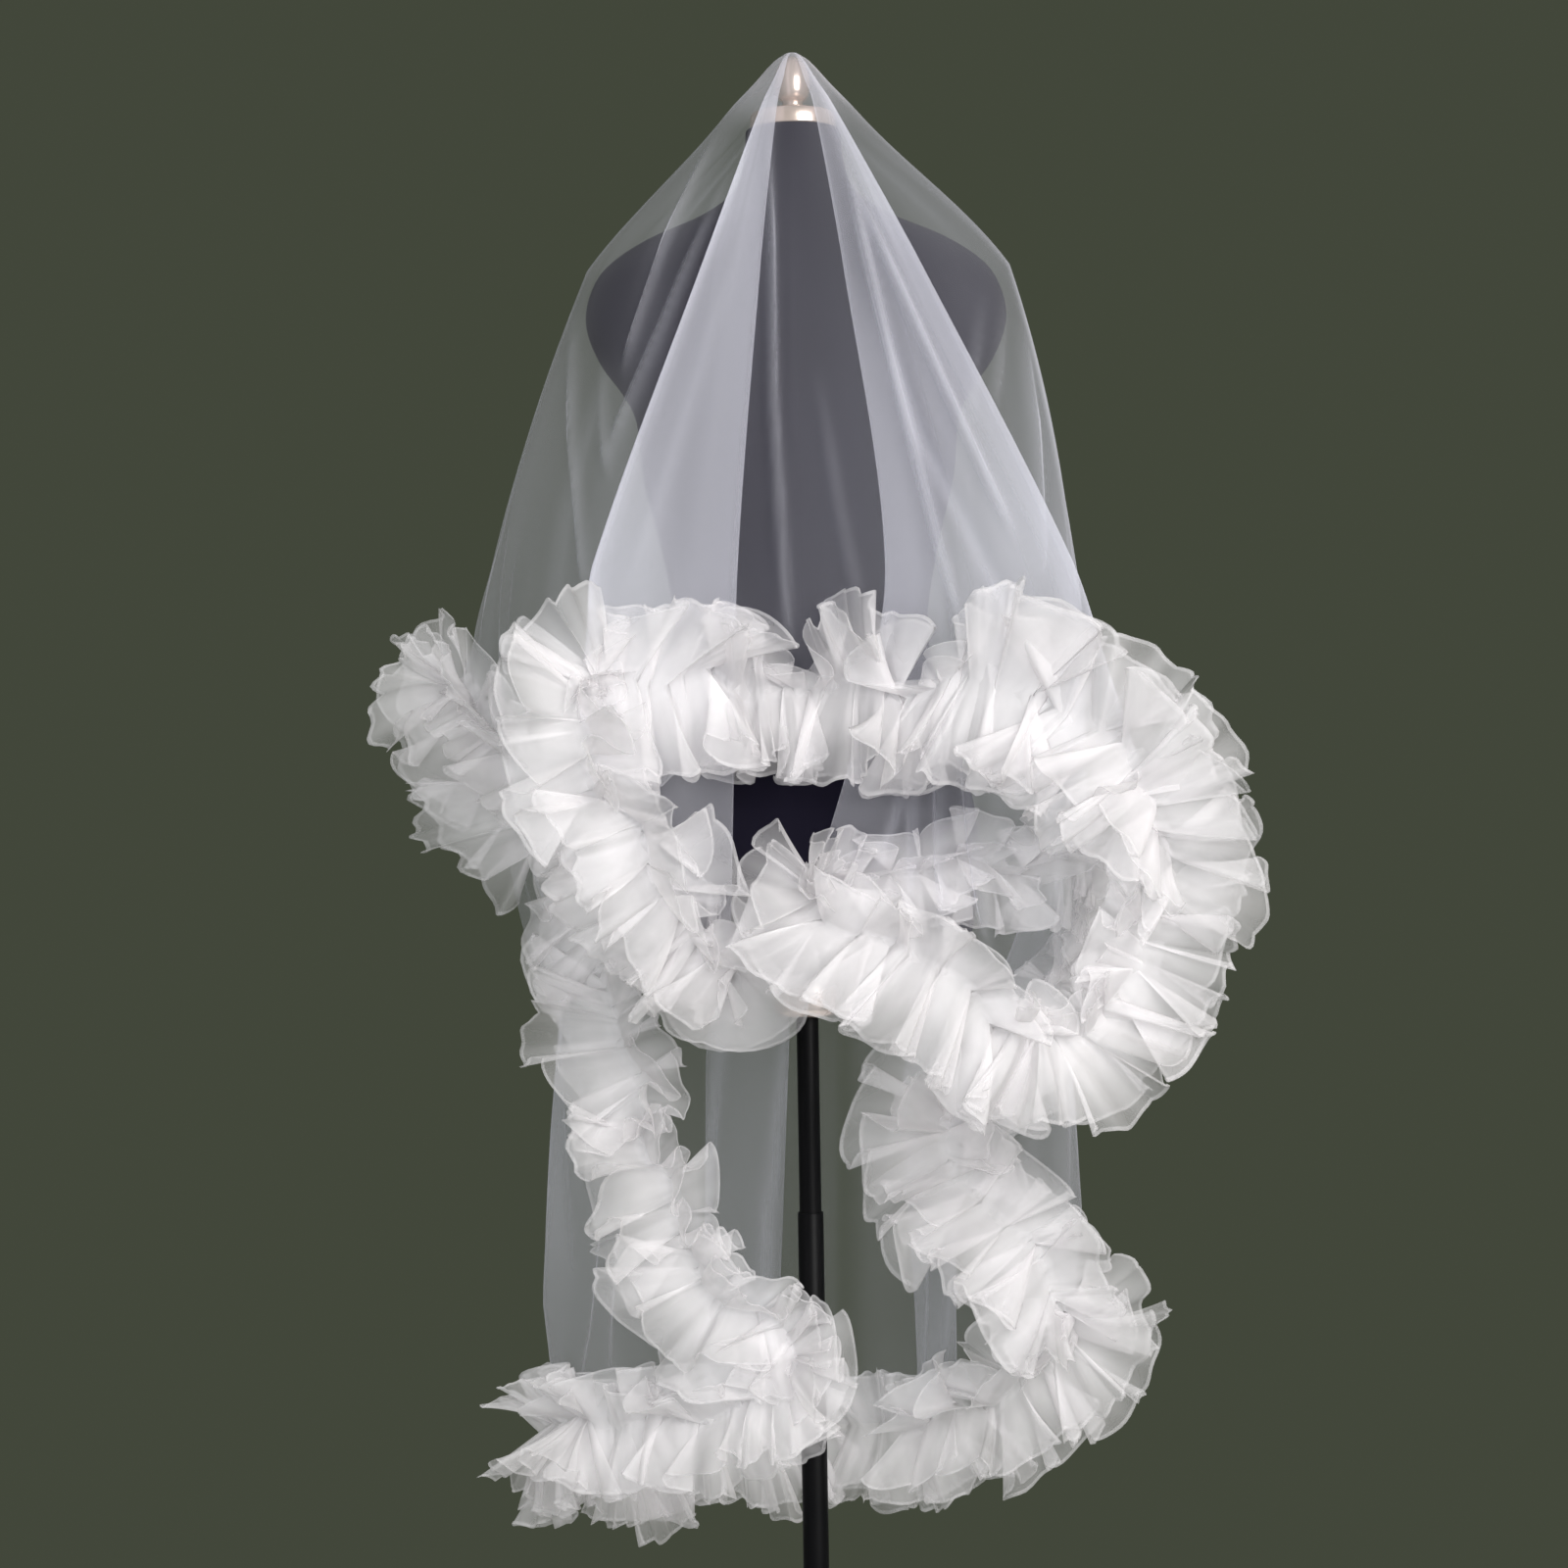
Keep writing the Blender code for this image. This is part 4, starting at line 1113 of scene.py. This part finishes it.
def pleats_of(place, start, length, lower, chance):
    """The folds along a stretch, one for each time that the strip turns back. The lower of the
    two layers lies closer to the sheet. The ranges of the draws are shares of a size or radians,
    and their order decides every pleat that follows."""
    made = []
    walked = ripples = 0.0
    lie = chance.uniform(-1, 1)
    group = left = 0
    side = 1
    while True:
        _, along, bend = edge_frame(start + walked)
        if left == 0:
            group = left = chance.randint(5, 10)
            lie = math.copysign(chance.uniform(0.65, 1.40), -lie)
            rise = chance.uniform(0.00, 0.30) if lower else chance.uniform(0.35, 1.05)
            rise *= STRETCHES[place].stand
            fan_out = chance.uniform(-0.18, 0.18)
            fan_in = chance.uniform(-0.35, 0.35)
            grown = chance.uniform(0.84, 1.08)
            grown_in = chance.uniform(0.85, 1.25)
        left -= 1
        spread = 1 - 2 * (left + 0.5) / group  # from -1 to 1 across the rosette
        size = grown * chance.uniform(0.90, 1.06) * (1 - SHORT_OUT * spread**2)
        size_in = grown_in * chance.uniform(0.90, 1.06) * (1 - SHORT_IN * spread**2)
        parted, beyond = parting_near(start + walked)
        size_in *= 1 - PARTING_DEPTH * parted
        left = 0 if parted > 0.9 else left
        leaning = fan_in + FAN_IN * spread + PARTING_LEAN * parted * beyond
        ripples += chance.uniform(1.3, 2.6)
        outer, inner = reach_at(place, walked / length)
        made.append(
            Pleat(
                walked,
                side,
                chance.choice((0.50, 0.75, 1.0, 1.20)) * chance.uniform(0.85, 1.15),
                lie + chance.uniform(-0.30, 0.30),
                outer * size,
                inner * size_in,
                rise + chance.uniform(-0.20, 0.20),
                rise + 0.10 + chance.uniform(-0.20, 0.20),
                chance.uniform(-0.50, 0.25),
                chance.uniform(-0.40, 0.35),
                fan_out + FAN_OUT * spread + chance.uniform(-0.12, 0.12),
                max(-MOST_LEAN, min(MOST_LEAN, leaning)) + chance.uniform(-0.12, 0.12),
                ripples,
            )
        )
        if walked >= length:
            return made
        step = PLEAT_PITCH / 2 * chance.uniform(0.65, 1.35) / (1 + 0.03 * bend.length)
        walked = min(walked + step, length) if length - walked > step * 1.4 else length
        side = -side


# %% Points of one stretch
def stretch_points(stretch, pleats, start):
    """The strip's points: a list of columns, each with a point for every strip row."""
    turn = math.radians(stretch.facing)
    facing = Vector((math.sin(turn), -math.cos(turn), 0))
    made = []
    for near, far in zip(pleats, pleats[1:]):
        for share in PLEAT_COLUMNS:
            mixed = Pleat(*(a + (b - a) * share for a, b in zip(near, far)))
            mixed = mixed._replace(side=near.side * math.cos(math.pi * share))
            made.append(strip_column(stretch, mixed, share, start, facing))
    made.append(strip_column(stretch, pleats[-1], 0.0, start, facing))
    return made


def strip_column(stretch, pleat, share, start, facing):
    """One column across the strip, at a share of the way from one fold to the next."""
    here, along, bend = edge_frame(start + pleat.walked)
    face = (facing - facing.dot(along) * along).normalized()
    outward = along.cross(face) * stretch.face
    curve = bend.dot(outward)
    ripple = math.sin(2 * math.pi * pleat.ripples)
    rounded = 1 - TIP_ROUNDING * abs(2 * share - 1) ** 3 + RIPPLE_TIP * ripple
    outer = min(pleat.outer, BEND_ROOM / max(curve, 1)) * rounded
    inner = min(pleat.inner, BEND_ROOM / max(-curve, 1)) * rounded
    over = along * math.sin(pleat.lie) + face * math.cos(pleat.lie)
    past = along * math.cos(pleat.lie) - face * math.sin(pleat.lie)
    line_at = LINE_PAST + wander(start + pleat.walked)
    column = []
    for row in ACROSS:
        out = row.across > 0
        part = abs(row.across)
        away = part * (outer if out else inner)
        foot, curl = (pleat.rise_out, pleat.curl_out) if out else (pleat.rise_in, pleat.curl_in)
        rise = foot + curl * part
        fan = pleat.fan_out if out else pleat.fan_in
        depth = GATHER_DEPTH + (PLEAT_DEPTH * pleat.depth - GATHER_DEPTH) * part**0.9
        loop = LOOP * part * math.sin(2 * math.pi * share) + RIPPLE * part * ripple
        flat = away * math.cos(rise)
        column.append(
            here
            + along * (flat * math.sin(fan))
            + outward * (line_at + math.copysign(flat * math.cos(fan), row.across))
            + face * (LINE_LIFT + away * math.sin(rise))
            + over * (depth * pleat.side)
            + past * (loop - row.behind)
        )
    return column


# %% Sew the ruffle on
for place, stretch in enumerate(STRETCHES):
    start = fold_walk[stretch.first] - OVERLAP
    length = (fold_walk[stretch.last] - fold_walk[stretch.first]) % edge_walk[-1] + 2 * OVERLAP
    shape = bmesh.new()
    cut_length = cut_width = 0.0
    for layer in ("upper", "lower"):
        chance = random.Random(stretch.name + layer)
        pleats = pleats_of(place, start, length, layer == "lower", chance)
        points = stretch_points(stretch, pleats, start)
        layer_mesh = bpy.data.meshes.new(layer)
        row_lengths = [
            sum((b[k] - a[k]).length for a, b in zip(points, points[1:]))
            for k in range(len(ACROSS))
        ]
        mean_length = sum(row_lengths) / len(ACROSS)
        cut_length += mean_length / 2
        across = [sum((b - a).length for a, b in zip(line, line[1:])) for line in points]
        cut_width += sum(across) / len(across)
        laid = laid_grid(
            len(points) - 1,
            len(ACROSS) - 1,
            lambda column, row: points[column][row],
            lambda column, row: min(mean_length / row_lengths[row], LINE_THICKEST),
        )
        laid.to_mesh(layer_mesh)
        laid.free()
        shape.from_mesh(layer_mesh)
        bpy.data.meshes.remove(layer_mesh)
    area = sum(face.calc_area() for face in shape.faces)
    print(
        stretch.name, "pleats:", len(pleats) // 2, "faces:", len(shape.faces),
        "cut:", round(cut_length, 2), "x", round(cut_width, 3),
        "share:", round(area / (cut_length * cut_width), 2),
    )
    frill = stretch.name.replace("ruffle", "frill")
    piece = show(frill, shape, "form", "tulle", ruffle_tulle, stretch.name)
    scale_uv(piece.data, cut_length, cut_width)
